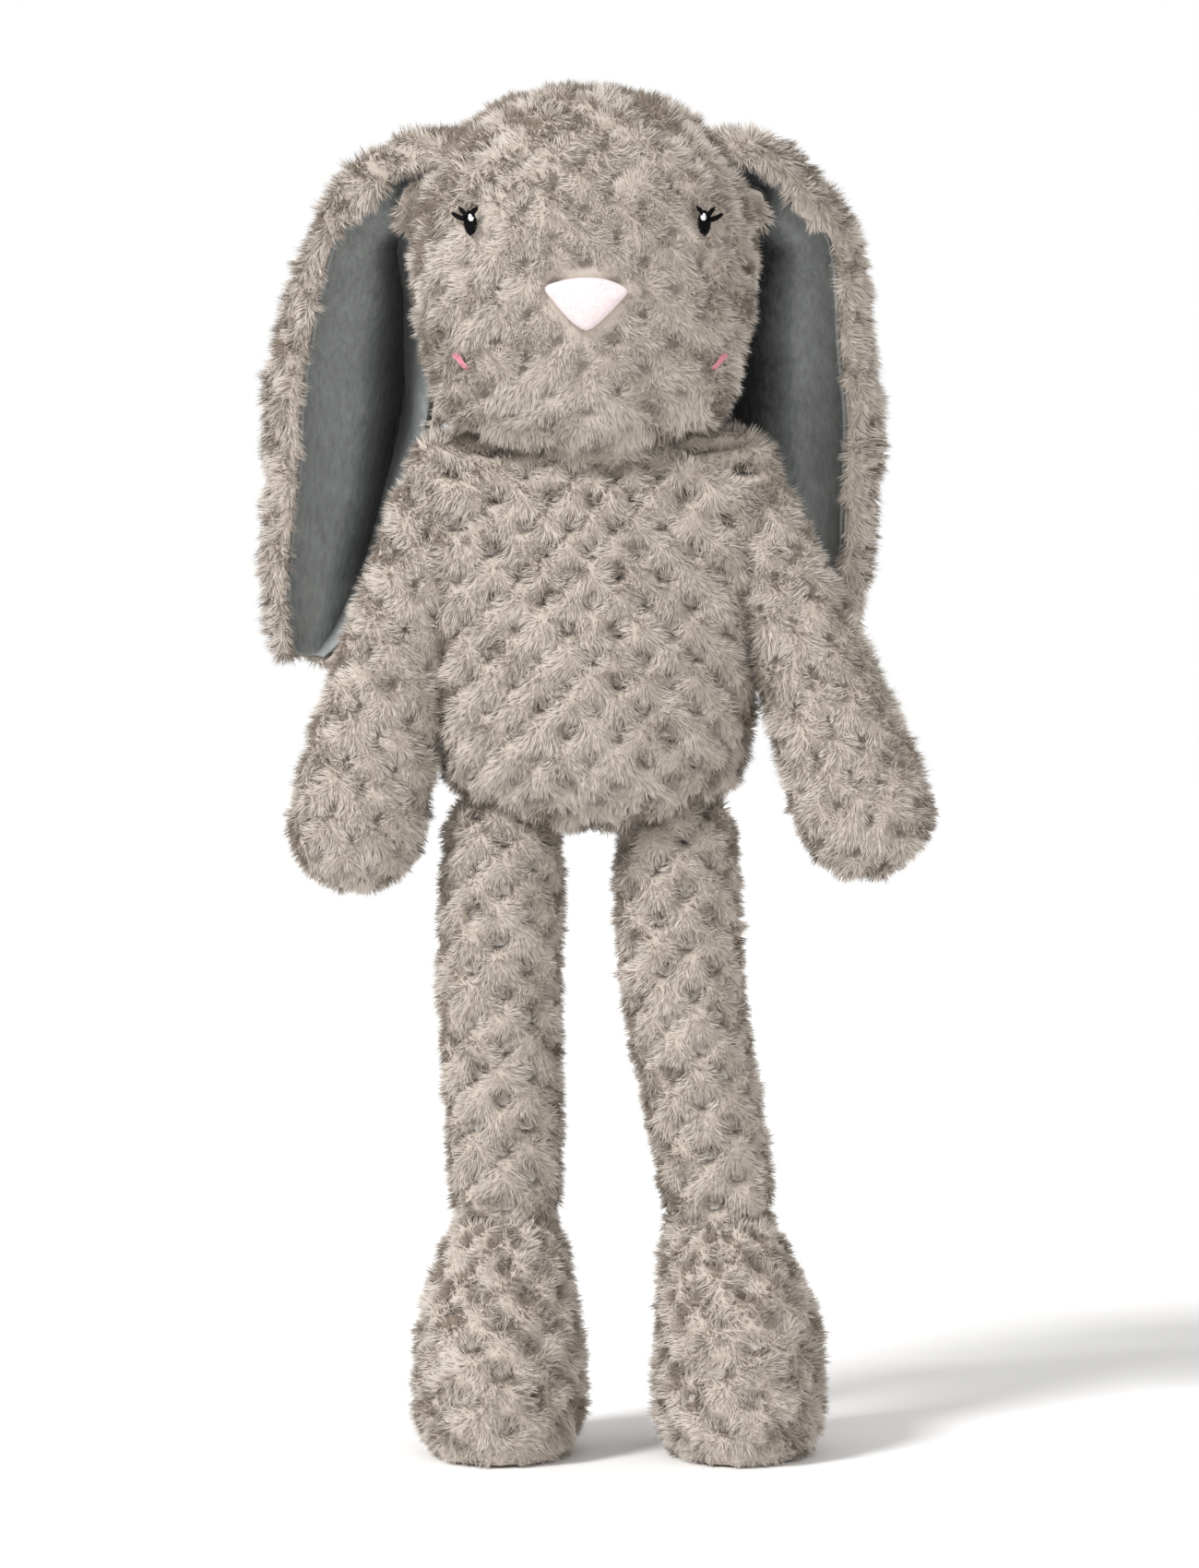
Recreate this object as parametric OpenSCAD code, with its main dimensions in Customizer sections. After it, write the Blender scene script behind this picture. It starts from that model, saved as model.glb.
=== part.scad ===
// Lop-eared plush bunny, standing, about 450 mm tall.
// Millimetres, +Z up. The bunny looks along -Y, so its own left side is +X.
// The origin is under the middle of the toy, on the surface it stands on.
// Every fabric panel is a thin curved sheet, and every filling is a closed solid inside it.
// Sheets and fillings are swept through "rings": [height, centre x, centre y, half width, half depth].

/* [Fabric] */
// Thickness of the plush cloth with its backing
plush_t = 3; // [2:0.25:4]
// Thickness of the short-pile ear lining
lining_t = 1.6; // [1:0.2:2.4]
// Gap between a sheet and the filling or the sheet inside it
sheet_gap = 0.4; // [0.3:0.1:0.8]
// Half of the angle that a seam between two panels leaves open
seam_gap = 0.5; // [0.3:0.1:1]

/* [Torso] */
// Height of the hem at the bottom of the torso
torso_bottom = 204.5; // [203:0.5:206]
// Height at which the torso is widest
torso_belly = 230; // [226:1:234]
// Half of the width of the belly
belly_rx = 51; // [47:0.5:51]
// Half of the depth of the belly
belly_ry = 42; // [36:1:45]
// Height of the shoulders' top, under the neck
torso_top = 324.3; // [322:0.1:324.5]
// Radius of the round tail
tail_r = 16; // [12:1:19]

/* [Head] */
// Height of the middle of the head
head_z = 388.5; // [388:0.5:392]
// How far the head sits to the bunny's right
head_x = -3; // [-5:1:0]
// Half of the width of the head
head_rx = 56; // [52:1:58]
// Half of the depth of the head
head_ry = 47; // [42:1:50]
// Half of the height of the head
head_h = 57.5; // [54:0.5:58]
// How far back the crown leans
crown_back = 7; // [0:1:10]

/* [Ears] */
// Turn of the right ear away from the head, in degrees
right_ear_out = 0; // [-2:1:10]
// Turn of the left ear away from the head, in degrees
left_ear_out = -6; // [-8:1:10]

/* [Arms] */
// Lean of the right arm away from the torso, in degrees
right_arm_out = 13; // [13:1:25]
// Lean of the left arm away from the torso, in degrees
left_arm_out = 19; // [13:1:28]
// Swing of the right arm to the front, in degrees
right_arm_front = 5; // [4:1:20]
// Swing of the left arm to the front, in degrees
left_arm_front = 11; // [4:1:20]
// Radius of the round top of the arm
shoulder_r = 14.5; // [13:0.5:14.5]
// Half of the width of the hand
hand_rx = 23.3; // [20:0.5:23.5]
// Reach of the arm from the shoulder to the end of the hand
arm_reach = 129; // [120:1:132]

/* [Legs] */
// Radius of the leg at the hip
hip_r = 19.5; // [17:0.5:19.5]
// Radius of the leg at the ankle
ankle_r = 17.5; // [15:0.5:17.5]
// Half of the length of the sole
foot_ry = 40; // [34:1:44]
// Half of the width of the foot
foot_rx = 26.5; // [23:0.5:28]
// Thickness of the sole
sole_t = 4; // [3:0.5:5]

/* [Hidden] */

// Moves the whole toy so that the origin is under the middle of its box.
origin_shift = [-0.5, -7.3, 0];

plush_grey = "#B3A89D";
plush_shade = "#A3988D";
lining_grey = "#7E8584";
filling_white = "#F2F0EA";
embroidery_black = "#17171A";
blush_pink = "#E3A9B4";
nose_pink = "#F8EAEA";
thread_grey = "#8E847A";

// Joint centres
neck_pivot = [0, 0, 329];
right_shoulder = [-51.5, -2, 308];
left_shoulder = [51.5, -2, 308];
right_hip = [-30, 0, 187];
left_hip = [27.5, 0, 187];
right_ankle = [-28.5, 0, 80];
left_ankle = [41, 0, 80];
right_ear_root = [-58.5, 2, 427];
left_ear_root = [54.5, 3, 427];

// Roundness of the head and of the belly: 2 is an ellipse, more is squarer.
head_soft = 2.25;
belly_soft = 2.2;
// The first ring of a closed end, as an angle from its pole
pole_angle = 5;

// ---------- rings ----------

function spline(p0, p1, p2, p3, t) =
    0.5 * (2 * p1 + (p2 - p0) * t
    + (2 * p0 - 5 * p1 + 4 * p2 - p3) * t * t
    + (3 * p1 - p0 - 3 * p2 + p3) * t * t * t);

function nth(list, i) = list[max(0, min(len(list) - 1, i))];

// A smooth run through the rings of a list, with a number of steps between each two.
function smooth(list, steps) = [
    for (k = [0 : (len(list) - 1) * steps])
        let (i = min(floor(k / steps), len(list) - 2), t = k / steps - i)
            spline(nth(list, i - 1), nth(list, i), nth(list, i + 1), nth(list, i + 2), t)
];

function reversed(list) = [for (i = [len(list) - 1 : -1 : 0]) list[i]];

// Rings of a round end from its pole to just before its widest ring; side is -1 below, 1 above.
function end_rings(centre, rx, ry, h, side, rows, soft = 2) = [
    for (k = [0 : rows - 1])
        let (f = pole_angle + (90 - pole_angle) * k / rows, s = pow(sin(f), 2 / soft))
            [centre.z + side * h * pow(cos(f), 2 / soft), centre.x, centre.y, rx * s, ry * s]
];

function power(c, soft) = sign(c) * pow(abs(c), 2 / soft);

function ring_point(r, a, soft) =
    [r[1] + r[3] * power(cos(a), soft), r[2] + r[4] * power(sin(a), soft), r[0]];

// The rings of a surface that lies t inside another.
function inset(rings, t) =
    let (
        low = rings[0][0],
        high = rings[len(rings) - 1][0],
        mid = (low + high) / 2,
        k = 1 - 2 * t / (high - low)
    )
    [for (r = rings) [mid + (r[0] - mid) * k, r[1], r[2], max(r[3] - t, 1), max(r[4] - t, 1)]];

function grid(rings, a0, a1, n, soft) = [
    for (r = rings) [for (j = [0 : n]) ring_point(r, a0 + (a1 - a0) * j / n, soft)]
];

function flat_list(rows) = [for (r = rows) for (p = r) p];

// ---------- solids ----------

// A sheet of cloth between two grids of points of the same size.
module sheet(outer, inner) {
    m = len(outer) - 1;
    n = len(outer[0]) - 1;
    w = n + 1;
    q = (m + 1) * w;
    function o(i, j) = i * w + j;
    faces = concat(
        [for (i = [0 : m - 1]) for (j = [0 : n - 1]) each [
            [o(i, j), o(i + 1, j), o(i + 1, j + 1)],
            [o(i, j), o(i + 1, j + 1), o(i, j + 1)],
            [q + o(i, j), q + o(i + 1, j + 1), q + o(i + 1, j)],
            [q + o(i, j), q + o(i, j + 1), q + o(i + 1, j + 1)],
        ]],
        [for (j = [0 : n - 1]) each [
            [o(0, j), o(0, j + 1), q + o(0, j + 1)],
            [o(0, j), q + o(0, j + 1), q + o(0, j)],
            [o(m, j + 1), o(m, j), q + o(m, j)],
            [o(m, j + 1), q + o(m, j), q + o(m, j + 1)],
        ]],
        [for (i = [0 : m - 1]) each [
            [o(i + 1, 0), o(i, 0), q + o(i, 0)],
            [o(i + 1, 0), q + o(i, 0), q + o(i + 1, 0)],
            [o(i, n), o(i + 1, n), q + o(i + 1, n)],
            [o(i, n), q + o(i + 1, n), q + o(i, n)],
        ]]
    );
    polyhedron(points = concat(flat_list(outer), flat_list(inner)), faces = faces, convexity = 6);
}

// A panel of plush from angle a0 to a1 round a set of rings.
module panel(rings, a0, a1, n, t = plush_t, soft = 2) {
    sheet(
        grid(rings, a0 + seam_gap, a1 - seam_gap, n, soft),
        grid(inset(rings, t), a0 + seam_gap, a1 - seam_gap, n, soft)
    );
}

// A tube of plush right round a set of rings, open only at the pin hole of each end ring.
module sleeve(rings, n, t = plush_t) {
    w = n;
    m = len(rings) - 1;
    q = (m + 1) * w;
    function o(i, j) = i * w + j % n;
    function points(rr) = [for (r = rr) for (j = [0 : n - 1]) ring_point(r, 360 * j / n, 2)];
    faces = concat(
        [for (i = [0 : m - 1]) for (j = [0 : n - 1]) each [
            [o(i, j), o(i + 1, j), o(i + 1, j + 1)],
            [o(i, j), o(i + 1, j + 1), o(i, j + 1)],
            [q + o(i, j), q + o(i + 1, j + 1), q + o(i + 1, j)],
            [q + o(i, j), q + o(i, j + 1), q + o(i + 1, j + 1)],
        ]],
        [for (j = [0 : n - 1]) each [
            [o(0, j), o(0, j + 1), q + o(0, j + 1)],
            [o(0, j), q + o(0, j + 1), q + o(0, j)],
            [o(m, j + 1), o(m, j), q + o(m, j)],
            [o(m, j + 1), q + o(m, j), q + o(m, j + 1)],
        ]]
    );
    polyhedron(points = concat(points(rings), points(inset(rings, t))), faces = faces, convexity = 6);
}

// A closed solid through a set of rings.
module filling(rings, n, soft = 2) {
    m = len(rings) - 1;
    function o(i, j) = i * n + j % n;
    faces = concat(
        [for (i = [0 : m - 1]) for (j = [0 : n - 1]) each [
            [o(i, j), o(i + 1, j), o(i + 1, j + 1)],
            [o(i, j), o(i + 1, j + 1), o(i, j + 1)],
        ]],
        [[for (j = [0 : n - 1]) o(0, j)]],
        [[for (j = [n - 1 : -1 : 0]) o(m, j)]]
    );
    points = [for (r = rings) for (j = [0 : n - 1]) ring_point(r, 360 * j / n, soft)];
    polyhedron(points = points, faces = faces, convexity = 4);
}

// ---------- torso ----------

torso_rings = concat(
    end_rings([0, 0, torso_belly], belly_rx, belly_ry, torso_belly - torso_bottom, -1, 5, belly_soft),
    smooth([
        [torso_belly, 0, 0, belly_rx, belly_ry],
        [252, 0, 0, belly_rx - 2, belly_ry - 1],
        [278, 0, 0, belly_rx - 8, belly_ry - 5],
        [300, 0, 0, 36.3, 32],
        [314, 0, 0, 32, 28],
        [torso_top - 2.8, 0, 0, 23, 20],
        [torso_top, 0, 0, 6, 6],
    ], 2)
);
torso_fill_rings = inset(torso_rings, plush_t + sheet_gap);
// Height that parts the bean bag from the filling above it
bean_top = 226;

function below(rings, z) = [for (r = rings) if (r[0] < z) r];
function above(rings, z) = [for (r = rings) if (r[0] > z) r];
// Half width and half depth of the torso's outside at a height
function torso_half(z, k) = lookup(z, [for (r = torso_rings) [r[0], r[k]]]);

module body_front_panel() {
    color(plush_grey) panel(torso_rings, 180, 360, 14);
}

module body_back_left_panel() {
    color(plush_shade) panel(torso_rings, 0, 90, 7);
}

module body_back_right_panel() {
    color(plush_shade) panel(torso_rings, 90, 180, 7);
}

module body_stuffing() {
    color(filling_white) filling(above(torso_fill_rings, bean_top + 1), 20);
}

module bean_bag() {
    color("#D8CBB4") filling(below(torso_fill_rings, bean_top), 20);
}

// Ladder stitches across the centre back seam
stitches = 9;
stitch_pitch = 6;
stitch_r = 0.7;
stitch_l = 7;
first_stitch_z = 246;

module closing_seam() {
    color(thread_grey)
        for (k = [0 : stitches - 1]) {
            z = first_stitch_z + k * stitch_pitch;
            translate([0, torso_half(z, 4) + stitch_r + 0.6, z])
                rotate([0, 90, 0])
                cylinder(h = stitch_l, r = stitch_r, center = true, $fn = 24);
        }
}

tail_gap = 0.6;
tail_z = torso_belly - 5;

module tail() {
    color(plush_grey)
        translate([0, belly_ry + tail_r + tail_gap, tail_z])
        sphere(r = tail_r, $fn = 48);
}

label_w = 14;
label_h = 22;
label_t = 0.8;
label_place = [-31, belly_ry - 6.5, 222];
label_turn = 40;

module care_label() {
    color("#F4F2EE")
        translate(label_place)
        rotate([0, 0, label_turn])
        translate([-label_w / 2, 0, 0])
        cube([label_w, label_t, label_h]);
}

// ---------- neck ----------

neck_r = 17;
neck_h = 3;
neck_drop = 1;

module neck_seam() {
    color(thread_grey)
        translate([0, 0, neck_pivot.z - neck_h - neck_drop])
        rotate_extrude($fn = 64)
        union() {
            square([neck_r, neck_h]);
            translate([neck_r, neck_h / 2]) circle(r = neck_h / 2, $fn = 24);
        }
}

// ---------- head ----------

function lean(z) = z > head_z ? crown_back * pow((z - head_z) / head_h, 2) : 0;

head_rows = 14;
head_rings = [
    for (k = [0 : head_rows])
        let (
            f = pole_angle + (180 - 2 * pole_angle) * k / head_rows,
            z = head_z - head_h * power(cos(f), head_soft),
            s = pow(sin(f), 2 / head_soft)
        )
        [z, head_x, lean(z), head_rx * s, head_ry * s]
];

module face_panel() {
    color(plush_grey) panel(head_rings, 180, 360, 16, soft = head_soft);
}

module head_back_panel() {
    color(plush_shade) panel(head_rings, 0, 180, 16, soft = head_soft);
}

module head_stuffing() {
    color(filling_white) filling(inset(head_rings, plush_t + sheet_gap), 20, head_soft);
}

// Depth of the face's surface at a place x beside its middle and at height z
function face_y(x, z) =
    lean(z) - head_ry * pow(
        1 - pow(abs(x) / head_rx, head_soft) - pow(abs(z - head_z) / head_h, head_soft),
        1 / head_soft
    );

// Draws a flat shape as a pad that lies on the face, lift clear of its surface.
module on_face(x, z, lift, t) {
    step = 1;
    nx = (face_y(x + step, z) - face_y(x - step, z)) / (2 * step);
    nz = (face_y(x, z + step) - face_y(x, z - step)) / (2 * step);
    yaw = atan2(nx, 1);
    pitch = atan2(nz, norm([nx, 1]));
    translate([head_x + x, face_y(x, z), z])
        rotate([0, 0, yaw])
        rotate([90 - pitch, 0, 0])
        translate([0, 0, lift])
        linear_extrude(t)
        children();
}

nose_w = 25;
nose_h = 17;
nose_corner = 2.6;
nose_z = 371;

// A soft triangle with its point down
module nose_outline() {
    side = nose_w / 2 - nose_corner;
    high = nose_h / 2 - nose_corner;
    hull() {
        for (x = [-side, side]) translate([x, high - 1]) circle(r = nose_corner, $fn = 32);
        translate([0, high + 0.6]) circle(r = nose_corner, $fn = 32);
        translate([0, -high]) circle(r = nose_corner, $fn = 32);
    }
}

module nose() {
    color(nose_pink) on_face(0, nose_z, 0.9, 2.6) nose_outline();
}

eye_x = 38.5;
eye_z = 399;
eye_r = 4.4;
lash_w = 1.3;
lash_l = 7.5;

// An upright oval with three lashes that fan up and out
module eye_outline() {
    union() {
        polygon([for (k = [0 : 23]) [eye_r * cos(15 * k), 1.2 * eye_r * sin(15 * k)]]);
        for (a = [20, 60, 115])
            rotate(a) translate([0, -lash_w / 2]) square([lash_l, lash_w]);
    }
}

module eye(side) {
    color(embroidery_black)
        on_face(side * eye_x, eye_z, 0.9, 1)
        mirror([side < 0 ? 1 : 0, 0])
        eye_outline();
}

module glint(side) {
    color("white")
        on_face(side * eye_x, eye_z, 2.1, 0.6)
        translate([-side * 1, 0.6])
        circle(r = 1.1, $fn = 24);
}

cheek_x = 40.4;
cheek_z = 353;
cheek_slant = 25;

module cheek(side) {
    color(blush_pink)
        on_face(side * cheek_x, cheek_z, 1.4, 0.8)
        rotate(side * cheek_slant)
        polygon([for (k = [0 : 23]) [2 * cos(15 * k), 3.6 * sin(15 * k)]]);
}

// ---------- ears ----------

// Stations from the tip up to the root: [out, back, up, half width, half depth].
ear_stations = smooth([
    [39, 35, -168, 8, 6.5],
    [37, 34, -155, 14, 9],
    [32, 31, -125, 20, 12],
    [28, 26, -90, 22, 13],
    [24, 14, -55, 20, 12],
    [17, 6, -26, 15, 10],
    [8, 1, -8, 10.5, 8],
    [1, 0, -1, 8, 7],
], 2);
// The trough of the ear runs between these angles, open towards the front.
ear_open_from = -52;
ear_open_to = 215;

function ear_grid(t) = [
    for (i = [0 : len(ear_stations) - 1])
        let (
            s = ear_stations[i],
            d = nth(ear_stations, i + 1) - nth(ear_stations, i - 1),
            along = [d.x, d.z] / norm([d.x, d.z]),
            across = [along.y, 0, -along.x],
            rx = max(s[3] - t, 0.8),
            ry = max(s[4] - t, 0.8)
        )
        [for (j = [0 : 16])
            let (a = ear_open_from + (ear_open_to - ear_open_from) * j / 16)
                [s.x, s.y, s.z] + across * rx * cos(a) + [0, ry * sin(a), 0]]
];

// Places an ear; the right one is the mirror image of the left.
module hang_ear(side) {
    translate(side > 0 ? left_ear_root : right_ear_root)
        mirror([side < 0 ? 1 : 0, 0, 0])
        rotate([0, -(side > 0 ? left_ear_out : right_ear_out), 0])
        children();
}

module ear_outer(side) {
    color(plush_grey) hang_ear(side) sheet(ear_grid(0), ear_grid(plush_t));
}

module ear_lining(side) {
    color(lining_grey)
        hang_ear(side)
        sheet(ear_grid(plush_t + sheet_gap), ear_grid(plush_t + sheet_gap + lining_t));
}

// ---------- arms ----------

hand_z = -105;
// How far the arm bows outwards between the shoulder and the hand
arm_bow = 4;

arm_rings = concat(
    end_rings([2, 0, hand_z], hand_rx, 17, arm_reach + hand_z, -1, 5, 2.2),
    smooth([
        [hand_z, 2, 0, hand_rx, 17],
        [-84, arm_bow - 0.5, 0, 20.5, 16.5],
        [-56, arm_bow, 0, 17.5, 15],
        [-28, arm_bow - 1.5, 0, 15.4, 14.2],
        [0, 0, 0, shoulder_r, shoulder_r],
    ], 1),
    reversed(end_rings([0, 0, 0], shoulder_r, shoulder_r, shoulder_r, 1, 4))
);

module hang_arm(side) {
    translate(side > 0 ? left_shoulder : right_shoulder)
        mirror([side < 0 ? 1 : 0, 0, 0])
        rotate([-(side > 0 ? left_arm_front : right_arm_front), 0, 0])
        rotate([0, -(side > 0 ? left_arm_out : right_arm_out), 0])
        children();
}

module arm_front_panel(side) {
    color(plush_grey) hang_arm(side) panel(arm_rings, 180, 360, 9);
}

module arm_back_panel(side) {
    color(plush_shade) hang_arm(side) panel(arm_rings, 0, 180, 9);
}

module arm_stuffing(side) {
    color(filling_white) hang_arm(side) filling(inset(arm_rings, plush_t + sheet_gap), 14);
}

// ---------- legs ----------

// A leg is one tube with a round end at the hip and one at the ankle.
function leg_rings(hip, knee_x, ankle) = concat(
    end_rings(ankle, ankle_r, ankle_r, ankle_r, -1, 4),
    smooth([
        [ankle.z, ankle.x, ankle.y, ankle_r, ankle_r],
        [110, (2 * knee_x + 3 * ankle.x) / 5, 0, ankle_r + 0.8, ankle_r + 0.8],
        [148, knee_x, 0, hip_r - 0.3, hip_r - 0.3],
        [hip.z, hip.x, hip.y, hip_r, hip_r],
    ], 2),
    reversed(end_rings(hip, hip_r, hip_r, hip_r, 1, 4))
);
left_leg_rings = leg_rings(left_hip, 29.5, left_ankle);
right_leg_rings = leg_rings(right_hip, -31, right_ankle);

module leg_sleeve(rings) {
    color(plush_grey) sleeve(rings, 18);
}

module leg_stuffing(rings) {
    color(filling_white) filling(inset(rings, plush_t + sheet_gap), 14);
}

// ---------- feet ----------

// How far the middle of the foot lies in front of the ankle
foot_front = 20;
foot_top = ankle_r + 0.7;

function foot_rings(ankle) = let (x = ankle.x < 0 ? ankle.x - 2 : ankle.x + 6.5) smooth([
    [sole_t + sheet_gap, x, -foot_front, foot_rx - 2.5, foot_ry - 2],
    [15, x, -foot_front, foot_rx, foot_ry],
    [31, x, -foot_front + 1.5, foot_rx - 0.5, foot_ry - 2.5],
    [46, x, -foot_front + 5, foot_rx - 2, foot_ry - 7],
    [56, (2 * x + ankle.x) / 3, -foot_front + 11, foot_rx - 7, foot_ry - 17],
    [ankle.z - foot_top, ankle.x, -1, 7, 8],
], 2);

module foot_upper(ankle) {
    color(plush_grey) sleeve(foot_rings(ankle), 20);
}

module foot_stuffing(ankle) {
    color(filling_white) filling(inset(foot_rings(ankle), plush_t + sheet_gap), 16);
}

module foot_sole(ankle) {
    base = foot_rings(ankle)[0];
    color(plush_shade)
        translate([base[1], base[2], 0])
        linear_extrude(sole_t)
        polygon([for (k = [0 : 35]) [base[3] * cos(10 * k), base[4] * sin(10 * k)]]);
}

// ---------- the toy ----------

translate(origin_shift) {
    body_front_panel();
    body_back_left_panel();
    body_back_right_panel();
    closing_seam();
    tail();
    care_label();
    body_stuffing();
    bean_bag();
    neck_seam();
    face_panel();
    head_back_panel();
    head_stuffing();
    nose();
    eye(1);  // left_eye
    eye(-1);  // right_eye
    glint(1);  // left_eye_glint
    glint(-1);  // right_eye_glint
    cheek(1);  // left_cheek
    cheek(-1);  // right_cheek
    ear_outer(1);  // left_ear_outer
    ear_lining(1);  // left_ear_lining
    ear_outer(-1);  // right_ear_outer
    ear_lining(-1);  // right_ear_lining
    arm_front_panel(1);  // left_arm_front_panel
    arm_back_panel(1);  // left_arm_back_panel
    arm_stuffing(1);  // left_arm_stuffing
    arm_front_panel(-1);  // right_arm_front_panel
    arm_back_panel(-1);  // right_arm_back_panel
    arm_stuffing(-1);  // right_arm_stuffing
    leg_sleeve(left_leg_rings);  // left_leg_sleeve
    leg_stuffing(left_leg_rings);  // left_leg_stuffing
    leg_sleeve(right_leg_rings);  // right_leg_sleeve
    leg_stuffing(right_leg_rings);  // right_leg_stuffing
    foot_upper(left_ankle);  // left_foot_upper
    foot_sole(left_ankle);  // left_foot_sole
    foot_stuffing(left_ankle);  // left_foot_stuffing
    foot_upper(right_ankle);  // right_foot_upper
    foot_sole(right_ankle);  // right_foot_sole
    foot_stuffing(right_ankle);  // right_foot_stuffing
}
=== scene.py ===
"""Builds the visual model of a soft toy rabbit with embossed plush, lined ears and an embroidered face."""

import logging
import math
import sys
from collections.abc import Callable, Sequence
from dataclasses import dataclass
from enum import Enum

import bmesh
import bpy
import numpy as np
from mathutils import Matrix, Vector
from mathutils.bvhtree import BVHTree
from mathutils.kdtree import KDTree


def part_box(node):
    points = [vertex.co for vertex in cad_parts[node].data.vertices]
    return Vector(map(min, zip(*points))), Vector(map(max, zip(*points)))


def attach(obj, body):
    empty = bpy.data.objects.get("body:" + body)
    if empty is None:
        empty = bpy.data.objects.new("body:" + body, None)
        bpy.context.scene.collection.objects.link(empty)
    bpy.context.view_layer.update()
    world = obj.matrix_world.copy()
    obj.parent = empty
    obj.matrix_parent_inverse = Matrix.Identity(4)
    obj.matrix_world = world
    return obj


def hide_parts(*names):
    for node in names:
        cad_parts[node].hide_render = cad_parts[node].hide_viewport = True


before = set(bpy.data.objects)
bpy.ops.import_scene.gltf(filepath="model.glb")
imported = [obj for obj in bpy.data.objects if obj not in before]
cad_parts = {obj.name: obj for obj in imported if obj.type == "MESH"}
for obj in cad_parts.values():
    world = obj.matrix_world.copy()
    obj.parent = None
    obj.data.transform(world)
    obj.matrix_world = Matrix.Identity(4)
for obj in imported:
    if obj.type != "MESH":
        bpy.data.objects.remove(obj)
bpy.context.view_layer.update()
log = logging.getLogger("rabbit")

MM = 0.001
# Where the record puts the middle of the model, in millimetres from the pattern's own origin
ORIGIN = np.array([-0.5, -7.3, 0.0])
SIM_FRAMES = 20
VOXEL = 5.0
# A distance to the nearest seam that stands for no seam at all
FAR = 99.0
# Beside a seam the embossing keeps this share of its depth, and the seam itself sinks this deep
SEAM_SHARE = 0.35
SEAM_GROOVE = 1.1
# Shades of a strand's two root corners and its tip, the darker roots being painted shade deep in the pile,
# and how much painted shade a pit adds to it for each millimetre
STRAND_SHADES = (0.26, 0.26, 0.85)
PIT_SHADE = 0.16
TUFTS_PER_MM2 = 1 / 6
Array = np.ndarray


class Side(Enum):
    """The rabbit's own left and right, as the sign of x."""

    LEFT = 1
    RIGHT = -1

    @property
    def prefix(self) -> str:
        """Start of the names of this side's pieces."""
        return self.name.lower()


def colour(code: str) -> tuple[float, float, float, float]:
    """Turns an sRGB hex code into linear RGBA."""
    parts = [int(code[i : i + 2], 16) / 255 for i in (1, 3, 5)]
    linear = [c / 12.92 if c <= 0.04045 else ((c + 0.055) / 1.055) ** 2.4 for c in parts]
    return (*linear, 1.0)


def add_node(
    tree: bpy.types.NodeTree,
    kind: str,
    inputs: dict | None = None,
    settings: dict | None = None,
    stops: Sequence[tuple[float, str]] = (),
) -> bpy.types.Node:
    """Adds one node to a tree.

    Args:
        tree: The tree that gets the node.
        kind: The node's type name.
        inputs: Values, or sockets to link, by input name or number.
        settings: The node's own options.
        stops: Positions and hex colours, where the node is a colour ramp.

    Returns:
        The node.
    """
    node = tree.nodes.new(kind)
    for name, value in (settings or {}).items():
        setattr(node, name, value)
    for name, value in (inputs or {}).items():
        if isinstance(value, bpy.types.NodeSocket):
            tree.links.new(value, node.inputs[name])
        else:
            node.inputs[name].default_value = value
    if stops:
        ramp = node.color_ramp
        while len(ramp.elements) < len(stops):
            ramp.elements.new(0.5)
        for element, (position, code) in zip(ramp.elements, stops):
            element.position = position
            element.color = colour(code)
    return node


# ---------- finishes ----------


@dataclass(frozen=True)
class Finish:
    """A surface made of nodes. Each kind says what feeds its shader."""

    name: str
    tone: str

    def shader_inputs(self, tree: bpy.types.NodeTree) -> dict:
        """Inputs of the Principled shader, as values and sockets."""
        raise NotImplementedError

    def material(self) -> bpy.types.Material:
        """The finish as a material, built once."""
        made = bpy.data.materials.get(self.name)
        if made is not None:
            return made
        made = bpy.data.materials.new(self.name)
        made.use_nodes = True
        tree = made.node_tree
        tree.nodes.clear()
        shader = add_node(tree, "ShaderNodeBsdfPrincipled", self.shader_inputs(tree))
        add_node(tree, "ShaderNodeOutputMaterial", {"Surface": shader.outputs["BSDF"]})
        return made

    def on(self, obj: bpy.types.Object) -> bpy.types.Object:
        """Puts the finish on an object in place of what it has."""
        obj.data.materials.clear()
        obj.data.materials.append(self.material())
        return obj


@dataclass(frozen=True)
class PlushPile(Finish):
    """Long soft polyester pile: each strand is darker where it leaves the cloth, painted shade deep in the
    pile, and light at its end, and the mat ends give the bloom that the eye sees round the edges."""

    # Painted shade deep in the pile: the root colour is darker than the fibre itself
    root: str = "#9A8E83"
    middle: str = "#C4B9AE"

    def shader_inputs(self, tree: bpy.types.NodeTree) -> dict:
        """Colour follows each strand's tone and painted shade from root to tip."""
        shade = add_node(tree, "ShaderNodeAttribute", settings={"attribute_name": "shade"})
        ramp = add_node(
            tree,
            "ShaderNodeValToRGB",
            {"Fac": shade.outputs["Fac"]},
            stops=[(0.0, self.root), (0.5, self.middle), (1.0, self.tone)],
        )
        return {
            "Base Color": ramp.outputs["Color"],
            "Roughness": 0.72,
            "Specular IOR Level": 0.25,
            "Sheen Weight": 0.35,
            "Sheen Roughness": 0.4,
            "Sheen Tint": colour("#F4EEE8"),
        }


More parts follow.
